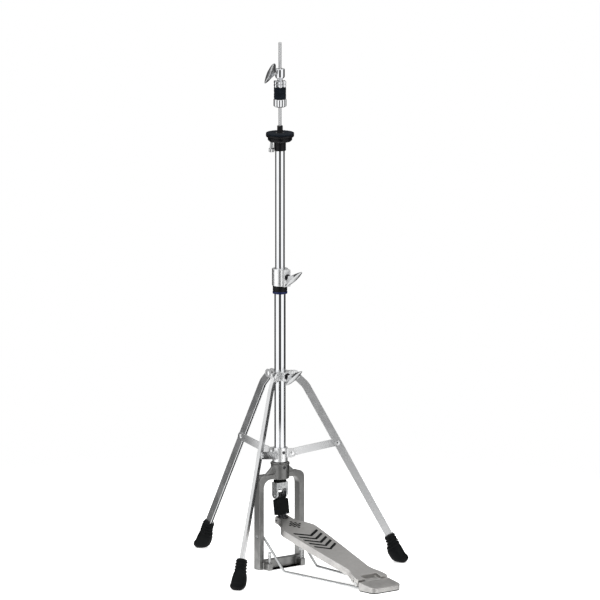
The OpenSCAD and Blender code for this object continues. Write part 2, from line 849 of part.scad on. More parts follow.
module board_outline(a0, a1, inset) {
  stations = [for (i = [0:48]) a0 + (a1 - a0) * i / 48];
  polygon(concat(
    [for (a = stations) [board_half_w(a) - inset, -a]],
    [for (a = reversed(stations)) [inset - board_half_w(a), -a]]
  ));
}

// Children are drawn with Y measured from the pedal's toe
module set_forward() translate([0, -pedal_setback, 0]) children();

// Children are drawn with -Y down the slope and +Z square to the board
module on_board() set_forward() translate([0, 0, toe_z]) rotate([board_slope, 0, 0]) children();

module chevron(i) {
  apex = 98 + 15.4 * i;
  half = 30 - 0.75 * i;
  sweep = 17.5;
  band = 6.4;
  translate([0, 0, -0.8])
    linear_extrude(2)
      polygon([
        [0, -apex], [half, sweep - apex], [half, sweep - apex + band],
        [0, band - apex], [-half, sweep - apex + band], [-half, sweep - apex]
      ]);
}

module footboard()
  color("silver")
    on_board()
      difference() {
        union() {
          difference() {
            translate([0, 0, -skirt_depth]) linear_extrude(skirt_depth) board_outline(0, board_end, 0);
            translate([0, 0, -skirt_depth - 1])
              linear_extrude(skirt_depth + 1 - board_t) board_outline(18, 262, skirt_t);
            translate([-50, -board_end - 1, -skirt_depth - 1])
              cube([100, board_end + 1 - notch_start, skirt_depth + 1 - board_t]);
          }
          for (side = [-1, 1])
            translate([side > 0 ? notch_half_w : -38, 0, 0])
              rotate([90, 0, 90]) linear_extrude(38 - notch_half_w) {
                translate([-along(hinge_s, hinge_z), above(hinge_s, hinge_z)]) circle(r = knuckle_r);
                polygon([
                  [-notch_start - 4, -board_t - 2], [-notch_start, -board_t], [-board_end, -board_t],
                  [-board_end, above(hinge_s, hinge_z)],
                  [-along(hinge_s, hinge_z) + knuckle_r, above(hinge_s, hinge_z)]
                ]);
              }
        }
        translate([-notch_half_w, -board_end - 1, -skirt_depth - 5])
          cube([2 * notch_half_w, board_end + 1 - notch_start, skirt_depth + 10]);
        translate([-8.5, -15, -skirt_depth - 1]) cube([17, 20, skirt_depth + 2]);
        for (i = [0:chevrons - 1]) chevron(i);
        translate([-50, -along(hinge_s, hinge_z), above(hinge_s, hinge_z)])
          rotate([0, 90, 0]) cylinder(r = hinge_pin_r + run, h = 100);
        translate([-20, -along(toe_pin_s, toe_pin_z), above(toe_pin_s, toe_pin_z)])
          rotate([0, 90, 0]) cylinder(r = pin_r, h = 40);
      }

module toe_pin()
  color("dimgray")
    translate([-15.6, -toe_pin_y, toe_pin_z]) rotate([0, 90, 0]) cylinder(r = pin_r, h = 31.2);

module heel_hinge_pin()
  color("gray")
    set_forward() translate([-38.5, -hinge_s, hinge_z]) rotate([0, 90, 0]) cylinder(r = hinge_pin_r, h = 77);

heel_front = 280.5;
heel_back = 325;
heel_pad_t = 2;

// The heel plate's outline from above, drawn with -Y away from the pedal
module heel_outline(inset) {
  corner = 13 - inset;
  polygon(concat(
    [[-38 + inset, -heel_front - inset], [38 - inset, -heel_front - inset]],
    arc([37.2 - inset - corner, -heel_back + inset + corner], corner, 0, -90, 6),
    arc([-37.2 + inset + corner, -heel_back + inset + corner], corner, -90, -180, 6)
  ));
}

module wire_path_grooves()
  for (side = [-1, 1]) {
    translate([side * 29 - wire_r - run, -302, 0]) cube([2 * (wire_r + run), 40, 5]);
    bar([side * 29, -300, 5], [side * 29, -262, 5], wire_r + run);
  }

module heel_plate()
  color("silver")
    set_forward() difference() {
      union() {
        intersection() {
          translate([0, 0, heel_pad_t]) linear_extrude(30) heel_outline(0);
          translate([-60, 0, 0]) rotate([90, 0, 90]) linear_extrude(120)
            polygon([[-heel_back - 1, 0], [-heel_front + 1, 0], [-heel_front + 1, 18.4],
                     [-heel_back + 6, 12], [-heel_back - 1, 10]]);
        }
        translate([-19.7, 0, 0]) rotate([90, 0, 90]) linear_extrude(39.4) {
          translate([-hinge_s, hinge_z]) circle(r = 6);
          polygon([[-hinge_s, 8], [-heel_front - 1, 3], [-heel_front - 1, 18.2], [-hinge_s, 20]]);
        }
      }
      wire_path_grooves();
      translate([-31, -300 - wire_r - run, 0]) cube([62, 2 * (wire_r + run), 5]);
      bar([-29, -300, 5], [29, -300, 5], wire_r + run);
      for (side = [-1, 1]) translate([side * 29, -300, 5]) sphere(r = wire_r + 0.2);
      translate([-50, -hinge_s, hinge_z]) rotate([0, 90, 0]) cylinder(r = hinge_pin_r, h = 100);
    }

module heel_rubber_pad()
  color("black") set_forward() linear_extrude(heel_pad_t) heel_outline(1.2);

// One bent wire: hooked into both posts, down to the floor, and across under the heel plate
module radius_rod() {
  half = [
    [post_out - 1, 6, rod_hole_z], [42, 6, rod_hole_z], [42, -59, 5],
    [29, -268, 5], [29, -300, 5]
  ];
  other = [for (p = reversed(half)) [-p[0], p[1], p[2]]];
  color("gray") set_forward() sweep(rounded_path(concat(half, other), wire_bend), wire_r, 12);
}

lower_tube();
tube_bushing();
height_clamp();
clamp_shoe();
clamp_wing_washer();
stay_collar();
stay_collar_screw();
stay_collar_rivets();
yoke_frame();
yoke_key_screw();
bumper_ring();
return_spring();
radius_rod();
heel_plate();
heel_hinge_pin();
heel_rubber_pad();
upper_tube();
seat_base();
seat_pivot_pin();
seat_cup();
seat_felt();
tilt_screw();
pull_rod();
rod_coupler();
lower_rod();
spring_collar();
clevis();
rod_end_nut();
clevis_pin();
chain_plates();
chain_pins();
chain_sleeve();
footboard();
toe_pin();
clutch_sleeve();
clutch_felt_upper();
clutch_felt_lower();
clutch_wing();
lock_ring_upper();
lock_ring_lower();
clutch_nut();
clamp_wing();
leg_hub();
leg_pivot_pins();
hub_shoe();
hub_wing_washer();
hub_wing();
leg_right();
leg_left();
leg_rear();
foot_right();
foot_left();
foot_rear();
stay_right();
stay_left();
stay_rear();
spur_right();
spur_left();
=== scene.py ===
# %% [markdown]
# # A hi-hat stand, made piece by piece
#
# The stand is already designed: every part has a size, a place and a joint. What is missing is
# the surface of each piece, and that is what this lesson makes. Each piece could be sculpted by
# hand, or built from Blender's primitives. Here most pieces are worked out with numpy, because a
# turned, swept or lofted part has an exact formula, and castings start from the designed shape
# and get the eased edges that a mould and a tumbler leave.

# %% Load the frame
import json
import math

import bmesh
import bpy
import numpy as np
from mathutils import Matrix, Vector

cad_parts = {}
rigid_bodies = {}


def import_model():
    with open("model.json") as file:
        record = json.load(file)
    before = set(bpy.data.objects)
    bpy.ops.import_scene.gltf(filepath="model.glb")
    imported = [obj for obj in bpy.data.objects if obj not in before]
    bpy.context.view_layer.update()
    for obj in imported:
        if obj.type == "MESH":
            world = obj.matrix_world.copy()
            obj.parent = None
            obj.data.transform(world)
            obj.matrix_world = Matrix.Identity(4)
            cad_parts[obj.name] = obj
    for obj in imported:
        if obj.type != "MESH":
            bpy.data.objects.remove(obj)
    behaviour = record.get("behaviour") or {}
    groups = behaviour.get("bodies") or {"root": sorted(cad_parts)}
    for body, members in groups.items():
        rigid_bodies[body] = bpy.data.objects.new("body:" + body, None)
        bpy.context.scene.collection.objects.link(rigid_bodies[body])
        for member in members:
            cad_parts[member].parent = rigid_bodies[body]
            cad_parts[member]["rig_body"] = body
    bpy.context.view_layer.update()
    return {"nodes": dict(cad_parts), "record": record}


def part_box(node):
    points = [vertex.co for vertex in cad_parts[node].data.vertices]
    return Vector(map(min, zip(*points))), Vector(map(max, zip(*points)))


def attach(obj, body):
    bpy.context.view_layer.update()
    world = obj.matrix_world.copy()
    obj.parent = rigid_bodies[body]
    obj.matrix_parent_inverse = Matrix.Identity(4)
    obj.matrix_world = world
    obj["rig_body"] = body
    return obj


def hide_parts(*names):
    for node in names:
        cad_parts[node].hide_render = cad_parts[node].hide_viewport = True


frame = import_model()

MM = 0.001
scene = bpy.context.scene
SLOT = {row["node"]: row["material_slot"] for row in frame["record"]["subparts"]}
BODY = {name: node["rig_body"] for name, node in frame["nodes"].items()}

# %% [markdown]
# ## Camera
#
# A product picture of a tall, thin object is taken from far away with a long lens, so that the
# column stays straight. The same picture could be made with an orthographic camera, but a long
# lens keeps the slight convergence of a real one. The camera is placed by two angles and a
# distance, and the lens follows from the width that the picture must show at the column.

# %% Place the camera
view_azimuth, view_elevation = math.radians(-40), math.radians(11.1)
camera_distance = 52.0
picture_width = 1.176
aim_height, aim_right = 0.533, 0.0392
SENSOR = 36.0

toward_camera = Vector((
    math.sin(view_azimuth) * math.cos(view_elevation),
    -math.cos(view_azimuth) * math.cos(view_elevation),
    math.sin(view_elevation),
))
to_the_right = Vector((math.cos(view_azimuth), math.sin(view_azimuth), 0))
aim = to_the_right * aim_right + Vector((0, 0, aim_height))

camera = bpy.data.objects.new("camera", bpy.data.cameras.new("camera"))
camera.data.sensor_width = SENSOR
camera.data.lens = SENSOR * camera_distance / picture_width
camera.data.clip_end = 100
camera.location = aim + toward_camera * camera_distance
camera.rotation_euler = (-toward_camera).to_track_quat("-Z", "Y").to_euler()
scene.collection.objects.link(camera)
scene.camera = camera
scene.view_settings.view_transform = "Standard"
print("lens", round(camera.data.lens, 1), "mm at", camera_distance, "m")

# %% [markdown]
# ## Wiring nodes
#
# Every material below is a small network. Nodes could be added and linked one call at a time,
# which takes four lines each. One helper that adds a node, sets it and joins its inputs keeps
# each network as short as its idea.

# %% A helper that adds one node
def put(tree, kind, inputs=None, **settings):
    """Adds a node. Settings are its own properties; inputs are values or sockets that feed it."""
    node = tree.nodes.new(kind)
    for key, value in settings.items():
        setattr(node, key, value)
    for key, value in (inputs or {}).items():
        if isinstance(value, bpy.types.NodeSocket):
            tree.links.new(value, node.inputs[key])
        else:
            node.inputs[key].default_value = value
    return node


def maths(tree, operation, a, b=0.0, clamp=False):
    """One Math node; a and b are numbers or sockets."""
    return put(tree, "ShaderNodeMath", {0: a, 1: b}, operation=operation, use_clamp=clamp).outputs[0]


def ramp(tree, value, low, high, out_low=0.0, out_high=1.0):
    """A smooth step: out_low below low, out_high above high."""
    settings = {"Value": value, "From Min": low, "From Max": high,
                "To Min": out_low, "To Max": out_high}
    return put(tree, "ShaderNodeMapRange", settings, interpolation_type="SMOOTHSTEP").outputs[0]


def dot(tree, a, b):
    """How far two directions agree: 1 for the same way, -1 for opposite ways."""
    both = {0: a, 1: b}
    return put(tree, "ShaderNodeVectorMath", both, operation="DOT_PRODUCT").outputs["Value"]


def blend(tree, amount, first, second):
    """One colour that runs from the first to the second with the amount."""
    return put(tree, "ShaderNodeMix", {0: amount, 6: first, 7: second}, data_type="RGBA").outputs[2]


# %% [markdown]
# ## The studio
#
# Chrome has no look of its own: it shows the room. A tube standing between two tall white panels
# reads as chrome because of the dark gap between the panels, which draws the line down its
# middle, and the dark room behind it, which draws its edges. Real panels could be modelled as
# area lights. Painting them into the world by direction gives the same reflections with less
# noise: each direction has a turn away from the camera and a height, and both are smooth steps.

# %% Paint the world by direction
PANEL, ROOM, CEILING, BACKDROP = 1.22, 0.045, 1.25, 0.45
gap_edge, panel_edge, softness, panel_lean = 23.0, 88.0, 5.0, 5

world = bpy.data.worlds.new("studio")
scene.world = world
world.use_nodes = True
sky = world.node_tree
sky.nodes.clear()
way = put(sky, "ShaderNodeSeparateXYZ", {0: put(sky, "ShaderNodeTexCoord").outputs["Generated"]})
ahead = put(sky, "ShaderNodeCombineXYZ", {0: way.outputs[0], 1: way.outputs[1]}).outputs[0]
flat = put(sky, "ShaderNodeVectorMath", {0: ahead}, operation="NORMALIZE").outputs[0]
camera_way = (math.sin(view_azimuth), -math.cos(view_azimuth), 0)
facing = dot(sky, flat, camera_way)
turn = maths(sky, "DEGREES", maths(sky, "ARCCOSINE", facing))
height = maths(sky, "DEGREES", maths(sky, "ARCSINE", way.outputs[2]))

opens = ramp(sky, turn, gap_edge - softness, gap_edge + softness)
lean = dot(sky, flat, tuple(to_the_right))
leaned = maths(sky, "ADD", turn, maths(sky, "MULTIPLY", lean, panel_lean))
closes = ramp(sky, leaned, panel_edge - softness, panel_edge + softness, 1, 0)
backdrop = ramp(sky, turn, 160, 176, 0, BACKDROP)
ceiling = ramp(sky, height, 22, 58, ROOM, CEILING)
sides = maths(sky, "MULTIPLY", maths(sky, "MULTIPLY", opens, closes), PANEL)
panels = maths(sky, "MULTIPLY", sides, ramp(sky, height, 38, 62, 1, 0.35))
behind = maths(sky, "MULTIPLY", backdrop, ramp(sky, height, 10, 30, 1, 0))
glow = maths(sky, "MAXIMUM", maths(sky, "MAXIMUM", panels, behind), ceiling)
seen = put(sky, "ShaderNodeLightPath").outputs["Is Camera Ray"]
level = maths(sky, "MAXIMUM", glow, seen)
shine = put(sky, "ShaderNodeBackground", {"Color": (1, 1, 1, 1), "Strength": level})
sky.links.new(shine.outputs[0], put(sky, "ShaderNodeOutputWorld").inputs[0])
print("panels from", gap_edge, "to", panel_edge, "degrees off the camera")

# %% [markdown]
# A broad lamp overhead fills the black pieces and the floor. It could be a sun, but a sun's hard
# shadow would draw the tripod a second time on the floor, so the lamp is four metres wide. It is
# left out of reflections, because the world already says what the chrome sees.

# %% Light from above
lamp = bpy.data.lights.new("overhead", "AREA")
lamp.shape, lamp.size, lamp.energy = "DISK", 4.0, 95
overhead = bpy.data.objects.new("overhead", lamp)
overhead.location = (-0.8, -1.4, 3.2)
overhead.rotation_euler = Vector((-0.8, -1.4, 2.8)).to_track_quat("Z", "Y").to_euler()
overhead.visible_glossy = False
scene.collection.objects.link(overhead)
print("overhead lamp", lamp.energy, "W")

# %% [markdown]
# ## Shared finishes as node groups
#
# Four effects appear on real surfaces: the faint marks of handling, the grain that the process
# left, edges that rub brighter or paler than the faces, and dust on what faces up. Each could be
# repeated inside every material. As groups they are wired once, and each material gives its own
# values.

# %% Start a group
def group(name, inputs, outputs):
    """A shader group with named inputs (label, kind, value) and outputs (label, kind)."""
    tree = bpy.data.node_groups.new(name, "ShaderNodeTree")
    for label, kind, value in inputs:
        socket = tree.interface.new_socket(name=label, in_out="INPUT", socket_type=kind)
        socket.default_value = value
    for label, kind in outputs:
        tree.interface.new_socket(name=label, in_out="OUTPUT", socket_type=kind)
    return tree, tree.nodes.new("NodeGroupInput"), tree.nodes.new("NodeGroupOutput")


NUMBER, VECTOR = "NodeSocketFloat", "NodeSocketVector"

# %% Handling marks
marks_group, given, made = group(
    "handling marks", [("Position", VECTOR, (0, 0, 0)), ("Scale", NUMBER, 20)], [("Mask", NUMBER)]
)
broad = put(marks_group, "ShaderNodeTexNoise",
            {"Vector": given.outputs[0], "Scale": given.outputs[1], "Detail": 3, "Distortion": 0.6})
cloud = ramp(marks_group, broad.outputs[0], 0.38, 0.66)
marks_group.links.new(cloud, made.inputs[0])
print(marks_group.name, "has", len(marks_group.nodes), "nodes")

# %% Grain
grain_group, given, made = group(
    "grain", [("Position", VECTOR, (0, 0, 0)), ("Scale", NUMBER, 900), ("Pits", NUMBER, 0.4)],
    [("Height", NUMBER)],
)
fine = put(grain_group, "ShaderNodeTexNoise",
           {"Vector": given.outputs[0], "Scale": given.outputs[1], "Detail": 4, "Roughness": 0.6})
coarse = maths(grain_group, "MULTIPLY", given.outputs[1], 0.45)
cells = put(grain_group, "ShaderNodeTexVoronoi", {"Vector": given.outputs[0], "Scale": coarse})
hollows = ramp(grain_group, cells.outputs[0], 0.05, 0.35, 1, 0)
pits = maths(grain_group, "MULTIPLY", hollows, given.outputs[2])
rise = maths(grain_group, "SUBTRACT", fine.outputs[0], pits)
grain_group.links.new(rise, made.inputs[0])
print(grain_group.name, "has", len(grain_group.nodes), "nodes")

# %% Edge wear
wear_group, given, made = group(
    "edge wear",
    [("Position", VECTOR, (0, 0, 0)), ("Width", NUMBER, 0.0015), ("Break-up", NUMBER, 300)],
    [("Mask", NUMBER)],
)
smoothed = put(wear_group, "ShaderNodeBevel", {"Radius": given.outputs[1]}, samples=4)
rounded_normal = smoothed.outputs[0]
true_normal = put(wear_group, "ShaderNodeNewGeometry").outputs["Normal"]
edge = ramp(wear_group, dot(wear_group, rounded_normal, true_normal), 0.90, 0.998, 1, 0)
patchy = put(wear_group, "ShaderNodeTexNoise",
             {"Vector": given.outputs[0], "Scale": given.outputs[2]})
worn = maths(wear_group, "MULTIPLY", edge, ramp(wear_group, patchy.outputs[0], 0.3, 0.6, 0.35, 1))
wear_group.links.new(worn, made.inputs[0])
print(wear_group.name, "has", len(wear_group.nodes), "nodes")

# %% Settled dust
dust_group, given, made = group(
    "settled dust", [("Position", VECTOR, (0, 0, 0)), ("Scale", NUMBER, 120)], [("Mask", NUMBER)]
)
faces_way = put(dust_group, "ShaderNodeNewGeometry").outputs["Normal"]
up = put(dust_group, "ShaderNodeSeparateXYZ", {0: faces_way})
specks = put(dust_group, "ShaderNodeTexNoise",
             {"Vector": given.outputs[0], "Scale": given.outputs[1], "Detail": 6})
settled = maths(dust_group, "MULTIPLY", ramp(dust_group, up.outputs[2], 0.2, 0.95),
                ramp(dust_group, specks.outputs[0], 0.42, 0.72))
dust_group.links.new(settled, made.inputs[0])
print(dust_group.name, "has", len(dust_group.nodes), "nodes")

# %% [markdown]
# ## One builder for every finish
#
# All the finishes share one order of work: a base colour that drifts a little, marks that change
# the gloss and grain that lifts the surface, then edges that differ and dust where a material
# asks for them. Writing that order once keeps the materials comparable; what differs is a line
# of values for each.

# %% The builder
MATERIALS = {}


def finish(slot, colour, drift, gloss, marks=20, grain=(900, 0.4, 0.00003), stretch=(1, 1, 1),
           edge=None, edge_width=0.0012, dust=None, metallic=1.0, extra=None):
    """A material: colour drifts to `drift` where the marks are, roughness runs over `gloss`,
    grain is (scale, pits, depth in metres), edge is a colour or None, and dust is a colour with
    its amount or None."""
    material = bpy.data.materials.new("finish_" + slot)
    material.use_nodes = True
    tree = material.node_tree
    shader = tree.nodes["Principled BSDF"]
    shader.inputs["Metallic"].default_value = metallic
    for name, value in (extra or {}).items():
        shader.inputs[name].default_value = value
    position = put(tree, "ShaderNodeTexCoord").outputs["Object"]
    along = put(tree, "ShaderNodeMapping", {"Vector": position, "Scale": stretch}).outputs[0]
    cloud = put(tree, "ShaderNodeGroup", node_tree=marks_group)
    tree.links.new(along, cloud.inputs["Position"])
    cloud.inputs["Scale"].default_value = marks
    shade = blend(tree, cloud.outputs[0], (*colour, 1), (*drift, 1))
    rough = ramp(tree, cloud.outputs[0], 0, 1, *gloss)
    if edge:
        wear = put(tree, "ShaderNodeGroup", node_tree=wear_group)
        tree.links.new(position, wear.inputs["Position"])
        wear.inputs["Width"].default_value = edge_width
        shade = blend(tree, wear.outputs[0], shade, (*edge, 1))
    if dust:
        film = put(tree, "ShaderNodeGroup", node_tree=dust_group)
        tree.links.new(position, film.inputs["Position"])
        amount = maths(tree, "MULTIPLY", film.outputs[0], dust[3])
        shade = blend(tree, amount, shade, (*dust[:3], 1))
        rough = maths(tree, "ADD", rough, maths(tree, "MULTIPLY", amount, 0.4), clamp=True)
    scale, pits, depth = grain
    texture = put(tree, "ShaderNodeGroup", node_tree=grain_group)
    tree.links.new(along, texture.inputs["Position"])
    texture.inputs["Scale"].default_value = scale
    texture.inputs["Pits"].default_value = pits
    bump = put(tree, "ShaderNodeBump",
               {"Height": texture.outputs[0], "Distance": depth, "Strength": 1.0})
    tree.links.new(shade, shader.inputs["Base Color"])
    tree.links.new(rough, shader.inputs["Roughness"])
    tree.links.new(bump.outputs[0], shader.inputs["Normal"])
    MATERIALS[slot] = material
    print("finish", slot, "uses", len(tree.nodes), "nodes")


# %% [markdown]
# ### Metals
#
# Chrome plating is a mirror: what makes it look handled and not computed is a slow drift in its
# gloss. The legs carry a duller plating over strip. The pull rod and the coupler are drawn and
# turned, so their grain is stretched. Cast aluminium is tumbled after the mould, which polishes
# the edges and leaves a fine pebble. Zinc plate is greyer and softer, and black steel rubs back
# to brighter metal on its edges.

# %% Metal finishes
finish("chrome", (0.80, 0.81, 0.82), (0.76, 0.77, 0.79), (0.035, 0.07), marks=14,
       grain=(300, 0.1, 0.0000002))
finish("chrome_clamp", (0.92, 0.925, 0.93), (0.88, 0.885, 0.89), (0.33, 0.38), marks=25,
       grain=(900, 0.1, 0.000004), edge=(0.90, 0.90, 0.90), edge_width=0.001)
finish("satin_chrome", (0.64, 0.645, 0.65), (0.61, 0.615, 0.62), (0.24, 0.29), marks=25,
       grain=(1100, 0.1, 0.000002), edge=(0.74, 0.75, 0.75), edge_width=0.0008)
finish("satin_wing", (0.50, 0.505, 0.51), (0.45, 0.455, 0.46), (0.22, 0.30), marks=60,
       grain=(1100, 0.1, 0.000004), edge=(0.70, 0.70, 0.70), edge_width=0.0006)
finish("bright_wing", (0.62, 0.625, 0.63), (0.56, 0.565, 0.57), (0.13, 0.18), marks=60,
       grain=(1100, 0.1, 0.000003), edge=(0.85, 0.85, 0.85), edge_width=0.0006)
finish("ground_rod", (0.66, 0.665, 0.67), (0.60, 0.605, 0.61), (0.26, 0.34), marks=30,
       stretch=(1, 1, 0.2), grain=(1400, 0.1, 0.000001))
finish("cast_aluminium", (0.515, 0.505, 0.49), (0.47, 0.46, 0.45), (0.36, 0.46), marks=30,
       grain=(800, 0.6, 0.00004), edge=(0.72, 0.72, 0.71), edge_width=0.0016,
       dust=(0.40, 0.39, 0.37, 0.25))
finish("cast_yoke", (0.235, 0.235, 0.23), (0.19, 0.19, 0.187), (0.34, 0.44), marks=30,
       grain=(800, 0.6, 0.00004), edge=(0.38, 0.38, 0.375), edge_width=0.0016,
       dust=(0.34, 0.335, 0.32, 0.25))
finish("zinc_steel", (0.52, 0.53, 0.53), (0.42, 0.43, 0.44), (0.22, 0.36), marks=120,
       grain=(1500, 0.3, 0.00001), edge=(0.68, 0.68, 0.68))
finish("dark_steel", (0.085, 0.085, 0.09), (0.05, 0.05, 0.055), (0.28, 0.42), marks=90,
       grain=(1200, 0.3, 0.00001), edge=(0.30, 0.30, 0.30), edge_width=0.0005)
finish("spring_steel", (0.33, 0.33, 0.34), (0.22, 0.21, 0.20), (0.20, 0.34), marks=160,
       grain=(1500, 0.2, 0.00001))
finish("brass_coupler", (0.72, 0.55, 0.26), (0.60, 0.44, 0.20), (0.16, 0.32), marks=70,
       stretch=(0.2, 0.2, 3), grain=(900, 0.1, 0.00001), edge=(0.82, 0.68, 0.38),
       edge_width=0.0005)

# %% [markdown]
# ### Blacks and nylon
#
# Black plastic, rubber and felt sit close together here, and they must not look alike. Moulded
# plastic has a soft gloss and paler edges. Rubber is rougher, with larger pits. Felt has almost no
# gloss: its sheen comes from fibres that stand up, so it gets a little of the shader's sheen and a
# deep grain. The white nylon is moulded like the plastic. The dark blue finish is a painted
# reflection: the blue tint that the light lays on the black plastic bushing, with the plastic's gloss
# and grain.

# %% Plastic, rubber and felt
finish("black_plastic", (0.006, 0.006, 0.007), (0.010, 0.010, 0.011), (0.24, 0.38), marks=60,
       metallic=0.0, grain=(1400, 0.3, 0.00002), edge=(0.03, 0.03, 0.033), edge_width=0.0007,
       extra={"Specular IOR Level": 0.12})
finish("white_nylon", (0.80, 0.80, 0.76), (0.72, 0.71, 0.66), (0.35, 0.5), marks=60,
       metallic=0.0, grain=(900, 0.2, 0.00001), extra={"Subsurface Weight": 0.1})
finish("black_rubber", (0.0035, 0.0040, 0.0042), (0.006, 0.0066, 0.0068), (0.42, 0.62), marks=45,
       metallic=0.0, grain=(1000, 0.5, 0.00006), edge=(0.012, 0.0125, 0.0125),
       extra={"Specular IOR Level": 0.05})
finish("black_felt", (0.005, 0.007, 0.010), (0.009, 0.012, 0.017), (0.88, 0.97), marks=220,
       metallic=0.0, grain=(1500, 0.9, 0.00030),
       extra={"Sheen Weight": 0.03, "Sheen Roughness": 0.4, "Specular IOR Level": 0.06})
# Painted reflection: this dark blue colour stands in for a blue tint of reflected light on the black
# bushing.
finish("blue_sheen_plastic", (0.008, 0.014, 0.060), (0.012, 0.020, 0.075), (0.26, 0.38), marks=60,
       metallic=0.0, grain=(1400, 0.3, 0.00002), extra={"Specular IOR Level": 0.25})

# %% [markdown]
# ## The floor
#
# The stand rests on white paper that glows a little, because it is lit from all sides. A plain
# white disc would do, but its rim would show in every low view, so its edge fades into light
# that equals the background. Reflections see mostly its middle, and the room beyond.

# %% Make the floor
floor_radius, floor_sides, floor_drop, paper_glow = 1.15, 96, 0.0002, 0.66
steps = np.linspace(0, 2 * math.pi, floor_sides, endpoint=False)
rim = np.stack([np.cos(steps), np.sin(steps), np.zeros_like(steps)], 1) * floor_radius
floor_mesh = bpy.data.meshes.new("floor")
floor_mesh.from_pydata(rim, [], [list(range(floor_sides))])
floor = bpy.data.objects.new("floor", floor_mesh)
scene.collection.objects.link(floor)
floor.location.z = -floor_drop

paper = bpy.data.materials.new("paper")
paper.use_nodes = True
tree = paper.node_tree
shader = tree.nodes["Principled BSDF"]
shader.inputs["Base Color"].default_value = (0.86, 0.86, 0.86, 1)
shader.inputs["Roughness"].default_value = 0.95
shader.inputs["Specular IOR Level"].default_value = 0.0
shader.inputs["Emission Color"].default_value = (1, 1, 1, 1)
shader.inputs["Emission Strength"].default_value = paper_glow
place = put(tree, "ShaderNodeTexCoord").outputs["Object"]
away = put(tree, "ShaderNodeVectorMath", {0: place}, operation="LENGTH").outputs["Value"]
rim_fade = ramp(tree, away, floor_radius * 0.55, floor_radius * 0.98)
ahead_of = dot(tree, place, camera_way)
outside = ramp(tree, away, 0.18, 0.40)
mirror_fade = maths(tree, "MULTIPLY", outside, ramp(tree, ahead_of, -0.1, 0.2, 1, 0.72))
mirrored = put(tree, "ShaderNodeLightPath").outputs["Is Glossy Ray"]
fade = maths(tree, "MAXIMUM", rim_fade, maths(tree, "MULTIPLY", mirror_fade, mirrored))
clear = put(tree, "ShaderNodeBsdfTransparent")
mix = put(tree, "ShaderNodeMixShader", {0: fade, 1: shader.outputs[0], 2: clear.outputs[0]})
tree.links.new(mix.outputs[0], tree.nodes["Material Output"].inputs[0])
floor_mesh.materials.append(paper)
print("floor", 2 * floor_radius, "m across")

# %% [markdown]
# ## From numbers to a piece
#
# Every shape below is first an array of points in millimetres. A grid of points becomes a skin
# by joining neighbours; several skins become one mesh. The alternative, adding vertices one at
# a time, is slow and hides the formula. The same function hands the piece to its body, so
# nothing can be left behind when a joint moves.

# %% Skins and pieces
def skin(points, wrap_rows=False, wrap_columns=False):
    """Faces of a grid of points: each four neighbours make one face, and a wrapped direction
    joins its last row to its first."""
    rows, columns = points.shape[:2]
    index = np.arange(rows * columns).reshape(rows, columns)
    if wrap_rows:
        index = np.concatenate([index, index[:1]], 0)
    if wrap_columns:
        index = np.concatenate([index, index[:, :1]], 1)
    faces = np.stack([index[:-1, :-1], index[1:, :-1], index[1:, 1:], index[:-1, 1:]], -1)
    return points.reshape(-1, 3), faces.reshape(-1, 4)


def designed(node):
    """The designed node's own points, in millimetres, and its triangles."""
    mesh = frame["nodes"][node].data
    points, corners = np.zeros(len(mesh.vertices) * 3), np.zeros(len(mesh.loops), int)
    mesh.vertices.foreach_get("co", points)
    mesh.loops.foreach_get("vertex_index", corners)
    return points.reshape(-1, 3) / MM, corners.reshape(-1, 3)


def piece(name, skins, stands_for=(), body=None, slot=None, look=None, bevel=0.0, segments=2,
          sharp=34, casting=False):
    """One finished object from several skins. It rides on its body, takes its slot's finish, or
    another look of the same stuff, and stands for the designed nodes it is named after. A casting
    keeps its own face directions."""
    starts = np.cumsum([0] + [len(points) for points, faces in skins])
    points = np.concatenate([points for points, faces in skins]) * MM
    faces = []
    for (_, rows), start in zip(skins, starts):
        faces += (rows + start).tolist()
    mesh = bpy.data.meshes.new(name)
    mesh.from_pydata(points, [], faces)
    work = bmesh.new()
    work.from_mesh(mesh)
    bmesh.ops.remove_doubles(work, verts=work.verts, dist=0.000002)
    bmesh.ops.dissolve_degenerate(work, edges=work.edges, dist=0.000001)
    if casting:
        bmesh.ops.dissolve_limit(work, angle_limit=math.radians(0.6), verts=work.verts,
                                 edges=work.edges)
    else:
        bmesh.ops.recalc_face_normals(work, faces=work.faces)
    work.to_mesh(mesh)
    work.free()
    mesh.shade_smooth()
    mesh.set_sharp_from_angle(angle=math.radians(sharp))
    made = bpy.data.objects.new(name, mesh)
    scene.collection.objects.link(made)
    slot = slot or SLOT[stands_for[0]]
    mesh.materials.append(MATERIALS[look or slot])
    if bevel:
        ease = made.modifiers.new("eased edges", "BEVEL")
        ease.width, ease.segments = bevel * MM, segments
        ease.limit_method, ease.angle_limit = "ANGLE", math.radians(sharp)
        ease.use_clamp_overlap, ease.harden_normals = False, True
    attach(made, body or BODY[stands_for[0]])
    if stands_for:
        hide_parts(*stands_for)
    print(name, len(mesh.polygons), "faces")


def span(node):
    """Lowest and highest corner of a designed node, in millimetres."""
    low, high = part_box(node)
    return np.array(low) / MM, np.array(high) / MM


# %% [markdown]
# ## Turned pieces
#
# Tubes, rods, felts, nuts and rivets come off a lathe: one profile, spun. Blender's Spin or a
# Screw modifier would make them too. Spinning a numpy profile keeps the formula in view and
# lets the radius change with the angle, which makes flutes, lobes and threads with no boolean.

